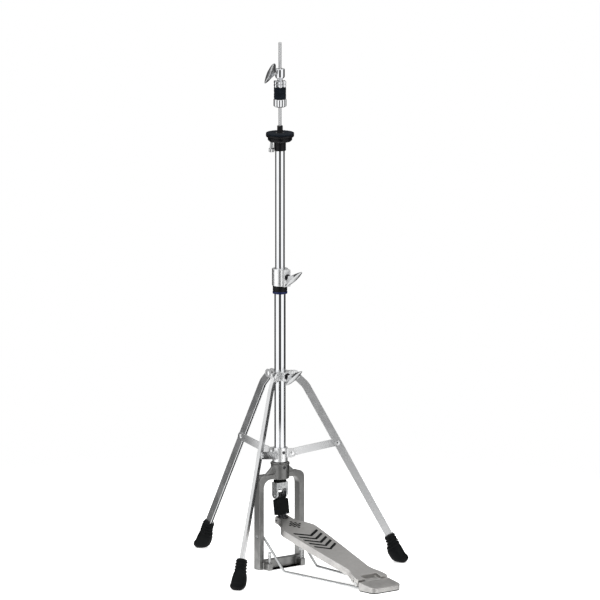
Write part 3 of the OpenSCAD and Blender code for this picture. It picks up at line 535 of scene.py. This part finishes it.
# %% Profiles, axes and the lathe
def eased(corners, reach, closed=False, steps=4):
    """The corners joined by straight lines, with each corner replaced by a short parabola that
    leaves the lines `reach` before it. The ends of an open profile stay."""
    corners = np.asarray(corners, float)
    before, after = np.roll(corners, 1, 0), np.roll(corners, -1, 0)
    back, ahead_by = before - corners, after - corners
    back_len = np.linalg.norm(back, axis=1, keepdims=True)
    ahead_len = np.linalg.norm(ahead_by, axis=1, keepdims=True)
    start = corners + back / back_len * np.minimum(reach, back_len * 0.46)
    end = corners + ahead_by / ahead_len * np.minimum(reach, ahead_len * 0.46)
    t = np.linspace(0, 1, steps + 1)[None, :, None]
    curve = (1 - t) ** 2 * start[:, None] + 2 * t * (1 - t) * corners[:, None] + t ** 2 * end[:, None]
    if closed:
        return curve.reshape(-1, corners.shape[1])
    return np.concatenate([corners[:1], curve[1:-1].reshape(-1, corners.shape[1]), corners[-1:]])


def axes(origin, x, y, z):
    """The own axes of a piece, as a matrix: its X, Y and Z in the stand's frame, and its origin."""
    frame_of = np.eye(4)
    frame_of[:3, 0], frame_of[:3, 1], frame_of[:3, 2], frame_of[:3, 3] = x, y, z, origin
    return frame_of


UPRIGHT = np.eye(4)


def from_column(azimuth):
    """Unit directions away from the column at this azimuth, and anticlockwise round it."""
    a = math.radians(azimuth)
    return np.array([math.cos(a), math.sin(a), 0]), np.array([-math.sin(a), math.cos(a), 0])


def outwards(azimuth, radius, rise):
    """Axes whose Z points away from the column at this azimuth, with X anticlockwise and Y up."""
    out, around = from_column(azimuth)
    return axes(out * radius + [0, 0, rise], around, (0, 0, 1), out)


def sideways(azimuth, radius, rise):
    """Axes whose Z runs anticlockwise round the column, for pins and rivets across a leg."""
    out, around = from_column(azimuth)
    return axes(out * radius + [0, 0, rise], out, (0, 0, -1), around)


def upright_in(low, high):
    """Upright axes through the middle of a box, with heights still counted from the floor."""
    return axes(((low[0] + high[0]) / 2, (low[1] + high[1]) / 2, 0), (1, 0, 0), (0, 1, 0), (0, 0, 1))


def put_at(points, place):
    """Points given in a piece's own axes, moved to the stand's frame."""
    return points @ place[:3, :3].T + place[:3, 3]


def lathe(profile, place=UPRIGHT, closed=False, steps=96, swell=None):
    """Turned surface: a profile point (r, h) at angle a lies at (r cos a, r sin a, h). `swell`
    gives millimetres to add to r from the grid of angles, radii and heights."""
    profile = np.asarray(profile, float)
    angle = np.linspace(0, 2 * math.pi, steps, endpoint=False)[:, None]
    radius = np.repeat(profile[None, :, 0], steps, 0)
    rise = np.repeat(profile[None, :, 1], steps, 0)
    if swell:
        radius = radius + swell(angle, radius, rise)
    points = np.stack([radius * np.cos(angle), radius * np.sin(angle), rise], -1)
    return skin(put_at(points, place), wrap_rows=True, wrap_columns=closed)


def ring_profile(outer, inner, low, high, reach=0.3):
    """Closed profile of a ring with eased edges."""
    return eased([(inner, low), (outer, low), (outer, high), (inner, high)], reach, closed=True)


def dome(radius, low, high, steps=8):
    """Quarter ellipse from the rim (radius, low) to the crown (0, high)."""
    a = np.linspace(0, math.pi / 2, steps)
    return np.stack([radius * np.cos(a), low + (high - low) * np.sin(a)], 1)


# %% [markdown]
# ## The column
#
# Two drawn tubes slide in one another. Their ends are deburred, so each has a small round inside
# and outside, and that round is what catches the light where a tube stops.

# %% Tubes, rods and the stop collar
def tube(node, wall=1.2):
    """A tube of the node's own radius and height."""
    low, high = span(node)
    radius = (high[0] - low[0]) / 2
    profile = ring_profile(radius, radius - wall, low[2], high[2])
    piece(node + "_drawn", [lathe(profile, closed=True)], [node])


tube("lower_tube")
tube("upper_tube")

low, high = span("pull_rod")
rod_r = (high[0] - low[0]) / 2
rod_profile = eased([(0, low[2]), (rod_r, low[2]), (rod_r, high[2] - 1), (rod_r - 1, high[2]),
                     (0, high[2])], 0.3)
piece("pull_rod_drawn", [lathe(rod_profile, steps=64)], ["pull_rod"], look="ground_rod")
low, high = span("lower_rod")
thread_pitch = 1.0


def threaded(top, depth=0.18):
    """Swell of a screw thread below height `top`: a wave that climbs one pitch in each turn."""
    wave = lambda a, h: depth * (np.cos(2 * math.pi * h / thread_pitch - a) - 1)
    return lambda a, r, h: wave(a, h) * (h < top) * (r > 1)


thread_heights = np.arange(low[2] + 0.5, low[2] + 24, thread_pitch / 8)
rod_end = np.stack([np.full_like(thread_heights, rod_r), thread_heights], 1)
lower_profile = np.concatenate([[(0, low[2]), (rod_r - 0.5, low[2])], rod_end,
                                [(rod_r, high[2]), (0, high[2])]])
lower_rod = lathe(lower_profile, steps=48, swell=threaded(low[2] + 23))
piece("lower_rod_threaded", [lower_rod], ["lower_rod"])

# %% Coupler, spring collar and bumper
low, high = span("rod_coupler")
grip = eased([(rod_r, low[2]), (6, low[2]), (6, low[2] + 10), (5.5, low[2] + 11), (5.5, high[2] - 11),
              (6, high[2] - 10), (6, high[2]), (rod_r, high[2])], 0.4, closed=True)
knurl = lambda a, r, h: 0.14 * np.cos(40 * a) * (r > 5.8)
piece("rod_coupler_knurled", [lathe(grip, closed=True, steps=160, swell=knurl)], ["rod_coupler"])
low, high = span("spring_collar")
collar = ring_profile(8, rod_r, low[2] + 0.5, high[2], 0.8)
piece("spring_collar_turned", [lathe(collar, closed=True)], ["spring_collar"])
low, high = span("bumper_ring")
bumper_r, groove_r, hole_r = 12.75, 12.1, 7
bumper = eased([(hole_r, low[2]), (bumper_r, low[2]), (bumper_r, low[2] + 2.6),
                (groove_r, low[2] + 3.4), (bumper_r, low[2] + 4.2), (bumper_r, high[2]),
                (hole_r, high[2])], 0.7, closed=True)
piece("bumper_moulded", [lathe(bumper, closed=True)], ["bumper_ring"])

# %% [markdown]
# ## Wing screws
#
# A wing is a cast handle whose section changes all the way: round where it meets the screw, then
# wide and thin, and lens-shaped at its outer face. Pulling a cube about by hand would give the
# shape once. Lofting it does it for all three: each section has a half-length, a half-thickness
# and a height, and the section turns from a circle into a lens as it gets wider.

# %% Loft a wing
WING = [(4.4, 4.4, -0.2), (4.4, 4.4, 2.4), (6.5, 4.3, 4.4), (12.5, 3.6, 6.8), (19, 3.2, 10),
        (23, 3.4, 14), (24, 4.2, 17.2), (22.6, 4.5, 18.9), (12, 4.2, 19.7), (0, 0, 20)]
hub_top, screw_pitch, screw_cut = 3, 1.25, 0.16


def wing(name, node, place, shank_r, shank_len, look, stretch=1.0):
    """Section at height h: x = a cos t, y = b sin t |sin t|^k, where k grows as the section
    widens, which turns a circle into a lens. The shank is a threaded screw of the same piece."""
    sections = eased(WING, 1.6, steps=4)
    a, b, h = (sections[:, i][:, None] for i in range(3))
    a = np.where(h > hub_top, a * stretch, a)
    t = np.linspace(0, 2 * math.pi, 72, endpoint=False)[None, :]
    lens = 0.45 * (1 - b / np.maximum(a, b + 1e-9))
    sine = np.sin(t)
    y = b * sine * np.abs(sine) ** lens
    points = np.stack([a * np.cos(t), y, h + 0 * t], -1)
    handle = skin(put_at(points, place), wrap_columns=True)
    under = lathe([(0, -0.2), (4.4, -0.2)], place, steps=72)
    turns = np.arange(-shank_len + 0.8, -0.4, 0.16)
    shank = np.concatenate([[(0, -shank_len), (shank_r - 0.7, -shank_len)],
                            np.stack([np.full_like(turns, shank_r), turns], 1),
                            [(shank_r, -0.2), (0, -0.2)]])
    wave = lambda angle, rise: screw_cut * (np.cos(2 * math.pi * rise / screw_pitch - angle) - 1)
    cut = lambda angle, r, rise: wave(angle, rise) * (r > shank_r - 0.1)
    screw = lathe(shank, place, steps=40, swell=cut)
    piece(name, [handle, under, screw], [node], look=look, sharp=48)


def rolled(place, roll):
    """The same axes turned about their own Z."""
    a = math.radians(roll)
    turn_by = np.array([[math.cos(a), -math.sin(a), 0], [math.sin(a), math.cos(a), 0], [0, 0, 1]])
    made_axes = place.copy()
    made_axes[:3, :3] = place[:3, :3] @ turn_by
    return made_axes


# %% Place the three wings
wing_seat_r, clutch_seat_r, washer_seat_r = 25.3, 9.8, 23
wing_roll, clutch_wing_roll = 29, 58


def middle(node):
    """Middle of a designed node's box, in millimetres."""
    low, high = span(node)
    return (low + high) / 2


hub_screw_z = middle("hub_wing_washer")[2]
screw_heights = {"clamp_wing": middle("clamp_wing_washer")[2], "hub_wing": hub_screw_z}
for node, rise in screw_heights.items():
    seat = outwards(-90, wing_seat_r, rise)
    wing(node + "_cast", node, rolled(seat, wing_roll), 4, 10.5, "bright_wing")
seat = outwards(180, clutch_seat_r, middle("clutch_wing")[2])
wing("clutch_wing_cast", "clutch_wing", rolled(seat, clutch_wing_roll), 3, 6.2, "satin_wing", 1.09)
washer_profile = ring_profile(6.5, 4.05, 0, 2, 0.4)
for node, rise in screw_heights.items():
    washer = lathe(washer_profile, outwards(-90, washer_seat_r, rise), closed=True, steps=64)
    piece(node + "_washer_moulded", [washer], [node + "_washer"])

# %% [markdown]
# ## The clutch
#
# The clutch holds the top cymbal between two felts. Its sleeve has a round-bottomed head that the
# wing screw pinches on the rod, and a long thread below. The lock rings and the bottom nut are
# gripped with the fingers, so their rims have lobes and flutes: one cosine of the angle each.

# %% Turn the clutch
sleeve_low, sleeve_high = span("clutch_sleeve")
bore, thread_r, head_r = rod_r + 0.03, 4.8, 9.5
head_z = sleeve_high[2] - 20.8
rows = np.arange(sleeve_low[2] + 0.4, head_z - 2.8, 0.125)
thread_wall = np.stack([np.full_like(rows, thread_r), rows], 1)
bowl_angle = np.radians(np.linspace(-84, 0, 12))
bowl_r = 5.5
bowl = np.stack([4.0 + bowl_r * np.cos(bowl_angle), head_z + 6.2 + bowl_r * np.sin(bowl_angle)], 1)
crown = eased([bowl[-1], (head_r, sleeve_high[2] - 0.9), (head_r - 0.9, sleeve_high[2]),
               (bore, sleeve_high[2])], 0.3)
sleeve = np.concatenate([[(bore, sleeve_low[2]), (thread_r - 0.5, sleeve_low[2])], thread_wall,
                         [(5, head_z - 2.4), (5, head_z + 0.3)], bowl, crown[1:]])
on_thread = lambda a, r, h: 0.2 * (np.cos(2 * math.pi * h - a) - 1) * (h < head_z - 3) * (r > 4.5)
sleeve = lathe(sleeve, closed=True, steps=72, swell=on_thread)
piece("clutch_sleeve_turned", [sleeve], ["clutch_sleeve"])


def felt(node, inner, bulge):
    """A felt washer: a ring whose rim swells at half height and is slightly uneven."""
    low, high = span(node)
    outer = (high[0] - low[0]) / 2 - bulge
    centre, half = (low[2] + high[2]) / 2, (high[2] - low[2]) / 2
    h = np.linspace(-0.96, 0.96, 16)
    side = np.stack([outer + bulge * (1 - np.abs(h) ** 3), centre + h * half], 1)
    profile = np.concatenate([[(inner, low[2]), (outer - 1.2, low[2])], side,
                              [(outer - 1.2, high[2]), (inner, high[2])]])
    uneven = lambda a, rise: 0.10 * np.sin(5 * a + rise) + 0.06 * np.sin(11 * a - 2 * rise)
    wavy = lambda a, r, rise: (r > outer - 2) * uneven(a, rise)
    piece(node + "_pressed", [lathe(profile, closed=True, steps=128, swell=wavy)], [node])


for node in ("clutch_felt_upper", "clutch_felt_lower"):
    felt(node, thread_r, 0.3)


def lobed(node, core, inner, lobes, lift, reach=0.7):
    """A finger ring: its rim carries round lobes, lift * ((1 + cos(lobes a)) / 2)^0.7."""
    low, high = span(node)
    profile = ring_profile(core, inner, low[2], high[2], reach)
    waves = lambda a, r, h: (r > core - 1.5) * lift * (0.5 + 0.5 * np.cos(lobes * a)) ** 0.7
    piece(node + "_turned", [lathe(profile, closed=True, steps=192, swell=waves)], [node])


for node in ("lock_ring_upper", "lock_ring_lower"):
    lobed(node, 9.6, thread_r + 0.05, 6, 3.1, 1.4)

low, high = span("clutch_nut")
nut = eased([(thread_r + 0.1, low[2] + 1.2), (rod_r + 0.4, low[2] + 1.2), (rod_r + 0.4, low[2]),
             (9.9, low[2]), (12, low[2] + 2), (12, high[2] - 0.8), (11.2, high[2]),
             (thread_r + 0.1, high[2])], 0.5, closed=True)
flutes = lambda a, r, h: (r > 11.1) * 1.5 * (np.abs(np.cos(4 * a)) ** 0.8 - 0.45)
piece("clutch_nut_fluted", [lathe(nut, closed=True, steps=192, swell=flutes)], ["clutch_nut"])

# %% [markdown]
# ## The cymbal seat
#
# The bottom cymbal lies on a wide felt, over a moulded cup that tips on its hinge when the screw
# under its edge is turned. The mouldings keep their designed shape with eased edges; the felt and
# the screw are turned.

# %% Castings keep their shape and lose their hard edges
def casting(node, bevel, segments=2, sharp=34, more=(), look=None):
    """The designed shape with its doubled points merged and its edges eased by a Bevel."""
    piece(node + "_cast", [designed(node), *more], [node], look=look, bevel=bevel,
          segments=segments, sharp=sharp, casting=True)


casting("seat_base", 0.5)
casting("seat_cup", 0.45)
felt("seat_felt", 9.2, 0.5)
low, high = span("tilt_screw")
screw_axis = upright_in(low, high)
stem = eased([(0, low[2]), (5.4, low[2]), (5.7, low[2] + 0.6), (5.7, low[2] + 6.4),
              (5.0, low[2] + 7), (3.6, low[2] + 8.2), (3.1, low[2] + 14.5),
              (2.75, low[2] + 15.5), (2.75, high[2] - 0.5), (2.3, high[2]), (0, high[2])], 0.3)
knurled = lambda a, r, h: (r > 5.5) * (h < low[2] + 6.6) * 0.16 * np.cos(28 * a)
piece("tilt_screw_turned", [lathe(stem, screw_axis, steps=112, swell=knurled)], ["tilt_screw"])

# %% [markdown]
# ## Clamp, hub and legs
#
# These are pressed and cast parts with flat faces and drilled holes, and the designed shape is
# already right. Rebuilding them as surfaces would gain nothing, so each is a merged copy with
# eased edges. The rivets are turned: a shank with a domed head at each end.

# %% Clamp, bushing and collars
casting("height_clamp", 0.9, 3, look="chrome_clamp")
casting("stay_collar", 0.6, look="chrome_clamp")
casting("leg_hub", 0.7, look="chrome_clamp")
low, high = span("tube_bushing")
inner_r, shoulder = span("upper_tube")[1][0] + 0.05, low[2] + 16
socket_r, flange_r, neck_r = span("lower_tube")[1][0], 14.3, 12.3
bush = [(socket_r, low[2]), (flange_r, low[2]), (flange_r, low[2] + 4.2),
        (flange_r - 0.5, low[2] + 4.8), (flange_r - 0.5, low[2] + 6),
        (flange_r, low[2] + 6.6), (flange_r, shoulder), (neck_r, shoulder), (neck_r, high[2]),
        (inner_r, high[2]), (inner_r, high[2] - 3), (socket_r, high[2] - 3)]
piece("tube_bushing_moulded", [lathe(eased(bush, 0.3, closed=True), closed=True)], ["tube_bushing"])
# Painted reflection: a dark blue band of colour round the bottom of the bushing's flange, where the
# black plastic shows a blue tint of reflected light.
band = ring_profile(flange_r + 0.25, flange_r - 0.3, low[2] + 0.4, low[2] + 4.4, 0.15)
piece("bushing_blue_sheen_band", [lathe(band, closed=True)], body=BODY["tube_bushing"],
      slot="black_plastic", look="blue_sheen_plastic")


def rivet(place, low_face, high_face, head_r=4.3, head_h=1.3, shank_r=2.5):
    """A shank between two domed heads whose flat undersides are at the two heights."""
    lower = dome(head_r, 0, head_h)[::-1]
    lower = np.stack([lower[:, 0], low_face - lower[:, 1]], 1)
    shank = [(shank_r, low_face), (shank_r, high_face)]
    upper = dome(head_r, high_face, high_face + head_h)
    return lathe(np.concatenate([lower, shank, upper]), place, steps=40)


AZIMUTHS = {"right": -30, "left": -150, "rear": 90}
leg_pivot_r, stay_pivot_r, collar_z, cheek_face = 30, 23.3, 227, 6.05
RIVETS = {"leg_pivot_pins": (leg_pivot_r, hub_screw_z, -cheek_face, cheek_face),
          "stay_collar_rivets": (stay_pivot_r, collar_z, -4, 4.1)}
for node, (radius, rise, low_face, high_face) in RIVETS.items():
    rivets = [rivet(sideways(azimuth, radius, rise), low_face, high_face)
              for azimuth in AZIMUTHS.values()]
    piece(node + "_riveted", rivets, [node], look="chrome_clamp")

# %% Legs and stays
stay_end_r, stay_end_z = 114.5, 244
leg_half, stay_face, cap_r, cap_h, cap_base = 3.25, 6.05, 4.0, 1.1, 1.35
for side, azimuth in AZIMUTHS.items():
    pivot = sideways(azimuth, stay_end_r, stay_end_z)
    cap = dome(cap_r, 0, cap_h)
    leg_cap = lathe(np.stack([cap[:, 0], -leg_half - cap_base - cap[:, 1]], 1), pivot, steps=40)
    stay_cap = lathe(dome(cap_r, stay_face + cap_base, stay_face + 2.5), pivot, steps=40)
    casting("leg_" + side, 0.5, more=[leg_cap])
    casting("stay_" + side, 0.4, more=[stay_cap])

# %% [markdown]
# ## Rubber feet
#
# Each foot is one moulding: ribs that grip the leg, then a boot that bulges towards the column
# and stands flat. Joining a cone and a disc would leave a hard seam. Here one oval is carried
# down the leg and everything that would pass the floor is slid back to it, so the whole foot is
# a single smooth skin.

# %% Carry an oval down the foot
leg_slope = math.radians(61.5)
foot_start = np.array([219.0, 52.5])
down_leg = np.array([math.cos(leg_slope), -math.sin(leg_slope)])
off_leg = np.array([math.sin(leg_slope), math.cos(leg_slope)])
foot_len, tip_round = 61.6, 1.5
OUTER = ([0, 20, 26, 46, 50, 55, 57, 59, 60.8, foot_len],
         [9.6, 9.6, 10.6, 10.8, 12.6, 12.6, 11.4, 8.0, 3.4, -3.0])
INNER = ([0, 12, 23, 28, 40, 46, 51, 54, foot_len],
         [10.0, 11.4, 18.4, 19.8, 19.2, 17.6, 13.8, 10.1, 3.0])
WIDTH = ([0, 20, 26, 36, 50, 55, 59, foot_len],
         [10.2, 10.8, 13.6, 15.2, 15.6, 14.0, 9.6, 0.0])


def rounded(s, knots, reach=2.5):
    """Straight lines through the knots, averaged over `reach` on both sides to round the bends."""
    return np.mean([np.interp(s + reach * o, *knots) for o in np.linspace(-1, 1, 9)], axis=0)


def foot(side, azimuth):
    """Section square to the leg at distance s: an oval from INNER to OUTER, as wide as WIDTH, with
    four ribs sin^2 over the upper part. What would pass the floor slides back along the leg."""
    s = np.linspace(-3.5, foot_len, 170)[:, None]
    ribs = 1.7 * np.sin(4 * math.pi * np.clip((s + 2.5) / 24, 0, 1)) ** 2
    tip = np.clip((foot_len - s) / tip_round, 0, 1) ** 0.5
    near, far = rounded(s, INNER) + ribs, rounded(s, OUTER, 1.0) + ribs
    wide = rounded(s, WIDTH, 1.5) * tip + ribs
    t = np.linspace(0, 2 * math.pi, 72, endpoint=False)[None, :]
    cut_off = (far - near) / 2 + (far + near) / 2 * np.cos(t) * tip
    across = wide * np.sin(t)
    floor_s = (foot_start[1] + off_leg[1] * cut_off) / -down_leg[1]
    reached = np.minimum(s, floor_s)
    out = foot_start[0] + down_leg[0] * reached + off_leg[0] * cut_off
    rise = foot_start[1] + down_leg[1] * reached + off_leg[1] * cut_off
    a = math.radians(azimuth)
    points = np.stack([out * math.cos(a) - across * math.sin(a),
                       out * math.sin(a) + across * math.cos(a), rise], -1)
    top = points[:1].mean(1, keepdims=True).repeat(t.shape[1], 1)
    sole = points[-1:].mean(1, keepdims=True).repeat(t.shape[1], 1)
    node = "foot_" + side
    boot = skin(np.concatenate([top, points, sole]), wrap_columns=True)
    piece(node + "_moulded", [boot], [node], sharp=50)


for side, azimuth in AZIMUTHS.items():
    foot(side, azimuth)

# %% [markdown]
# ## Yoke and pedal castings
#
# The yoke, the footboard and the heel plate come from a sand-finished mould, and every edge on
# them is round. They keep their designed shape, since the hinge, the pins and the wire run
# through them, and take a wider bevel than the pressed parts.

# %% Castings of the pedal, and the small parts round them
casting("yoke_frame", 1.3, 3, look="cast_yoke")
for node, bevel, segments in (
    ("footboard", 0.6, 3), ("heel_plate", 0.6, 3), ("heel_rubber_pad", 0.3, 2), ("clevis", 0.8, 3),
    ("rod_end_nut", 0.3, 2), ("chain_sleeve", 1.1, 3), ("chain_plates", 0.15, 2),
    ("yoke_key_screw", 0.2, 2), ("stay_collar_screw", 0.2, 2),
):
    casting(node, bevel, segments)

# %% Pins of the pedal
def cross_pin(node, radius, head_r=0.0, head_t=0.0):
    """A pin along X with rounded ends, or with two turned heads."""
    low, high = span(node)
    centre = (low + high) / 2
    place_at = axes((0, centre[1], centre[2]), (0, 1, 0), (0, 0, 1), (1, 0, 0))
    ends = [(0, low[0]), (radius, low[0]), (radius, high[0]), (0, high[0])]
    if head_r:
        ends = [(0, low[0]), (head_r, low[0]), (head_r, low[0] + head_t),
                (radius, low[0] + head_t), (radius, high[0] - head_t),
                (head_r, high[0] - head_t), (head_r, high[0]), (0, high[0])]
    piece(node + "_turned", [lathe(eased(ends, 0.5), place_at, steps=48)], [node])


cross_pin("clevis_pin", 2.0, 3.2, 1.4)
cross_pin("toe_pin", 2.0)
cross_pin("heel_hinge_pin", 2.5)

# %% [markdown]
# ## The radius rod
#
# One bent wire ties the yoke to the heel plate. It hooks into both posts, drops to the floor and
# crosses under the heel. A curve with a round bevel would do; sweeping a circle along the path
# by formula gives a plain mesh, with its seam and ends closed.

# %% Sweep the wire
def swept(path, radius, reference, sides=20):
    """A circle of the radius carried along the path. At each point one direction is the reference
    made square to the path, and the other is square to both."""
    along = np.gradient(path, axis=0)
    along /= np.linalg.norm(along, axis=1, keepdims=True)
    first = reference - (along @ reference)[:, None] * along
    first /= np.linalg.norm(first, axis=1, keepdims=True)
    second = np.cross(along, first)
    t = np.linspace(0, 2 * math.pi, sides, endpoint=False)[None, :, None]
    rings = path[:, None] + radius * (np.cos(t) * first[:, None] + np.sin(t) * second[:, None])
    near, far = path[:1, None].repeat(sides, 1), path[-1:, None].repeat(sides, 1)
    return skin(np.concatenate([near, rings, far]), wrap_columns=True)


setback = 3.5
corners = np.array([(56.4, 6, 66), (42, 6, 66), (42, -59, 5), (29, -268, 5), (29, -300, 5)], float)
corners[:, 1] -= setback
loop = np.concatenate([corners, corners[::-1] * [-1, 1, 1]])
wire = eased(loop, 5, steps=10)
wire_r = 2.5
piece("radius_rod_bent", [swept(wire, wire_r, np.array([0, -0.7, 0.7]))], ["radius_rod"])

# %% [markdown]
# ## Spurs
#
# Two screws with pointed tips stop the yoke from creeping on a carpet.

# %% Turn the spurs
spur_r = 2.95
for side in ("right", "left"):
    low, high = span("spur_" + side)
    spur_axis = upright_in(low, high)
    rows = np.arange(low[2] + 5, low[2] + 30.5, 0.125)
    wall = np.stack([np.full_like(rows, spur_r), rows], 1)
    head = eased([(spur_r, low[2] + 30.6), (3.3, low[2] + 31), (3.3, high[2] - 0.5),
                  (2.8, high[2]), (0, high[2])], 0.3)
    spur = np.concatenate([[(0, low[2]), (0.6, low[2])], wall, head])
    wave = lambda a, h: 0.16 * (np.cos(2 * math.pi * h - a) - 1)
    groove = lambda a, r, h: wave(a, h) * (r > 2.9) * (h < low[2] + 30.4)
    turned = lathe(spur, spur_axis, steps=48, swell=groove)
    piece("spur_" + side + "_threaded", [turned], ["spur_" + side])

# %% [markdown]
# ## Grip on the footboard
#
# Black inlays fill the five arrow-shaped grooves, and a lozenge of small studs sits above them.
# They could be painted in the material. As pieces they have thickness, and their edges catch the
# light as real rubber does.

# %% Chevrons and studs
board_slope, toe_z = math.radians(16.07), 103
first_apex, chevron_pitch, chevron_half, chevron_taper = 98, 15.4, 30, 0.75
arm_rise, band_width = 17.5, 6.4
board_axes = axes((0, -setback, toe_z), (1, 0, 0), (0, math.cos(board_slope), math.sin(board_slope)),
                  (0, -math.sin(board_slope), math.cos(board_slope)))


def chevron(i, low=-0.78, high=0.35, trim=0.12):
    """A prism over a bent band: six points below and the same six above."""
    apex, half = first_apex + chevron_pitch * i, chevron_half - chevron_taper * i - trim
    rise, band = arm_rise, band_width - 2 * trim
    outline = np.array([(0, -apex + trim), (half, rise - apex), (half, rise - apex + band),
                        (0, band - apex), (-half, rise - apex + band), (-half, rise - apex)])
    points = np.concatenate([np.c_[outline, np.full(6, low)], np.c_[outline, np.full(6, high)]])
    ring = np.arange(6)
    sides = np.stack([ring, np.roll(ring, -1), np.roll(ring, -1) + 6, ring + 6], 1)
    caps = np.array([(0, 3, 2, 1), (0, 5, 4, 3), (6, 7, 8, 9), (6, 9, 10, 11)])
    return put_at(points, board_axes), np.concatenate([sides, caps])


piece("board_chevrons", [chevron(i) for i in range(5)], body="pedal", slot="black_rubber",
      bevel=0.25)

stud_pitch, stud_centre, stud_r = 6.2, 44, 2.7
across_board, down_board = np.meshgrid(np.arange(-2, 3), np.arange(-2, 3))
inside = np.abs(across_board) + np.abs(down_board) <= 2
stud_spots = np.stack([across_board[inside] * stud_pitch,
                       -stud_centre - down_board[inside] * stud_pitch], 1)
stud_profile = np.concatenate([dome(stud_r, 0, 0.8)[::-1], [(stud_r, -0.4), (0, -0.4)]])
studs = []
for x, y in stud_spots:
    spot = board_axes.copy()
    spot[:3, 3] = put_at(np.array([x, y, 0]), board_axes)
    studs.append(lathe(stud_profile, spot, steps=20))
piece("board_studs", studs, body="pedal", slot="black_rubber")

# %% [markdown]
# ## What keeps its designed mesh
#
# The spring, the shoes and a few pins sit inside other parts. Their designed shape is whole, so
# they only need their finish.

# %% Finish the rest
for node, made_node in frame["nodes"].items():
    made_node.data.materials.clear()
    made_node.data.materials.append(MATERIALS[SLOT[node]])
print("finish given to", len(frame["nodes"]), "designed nodes")
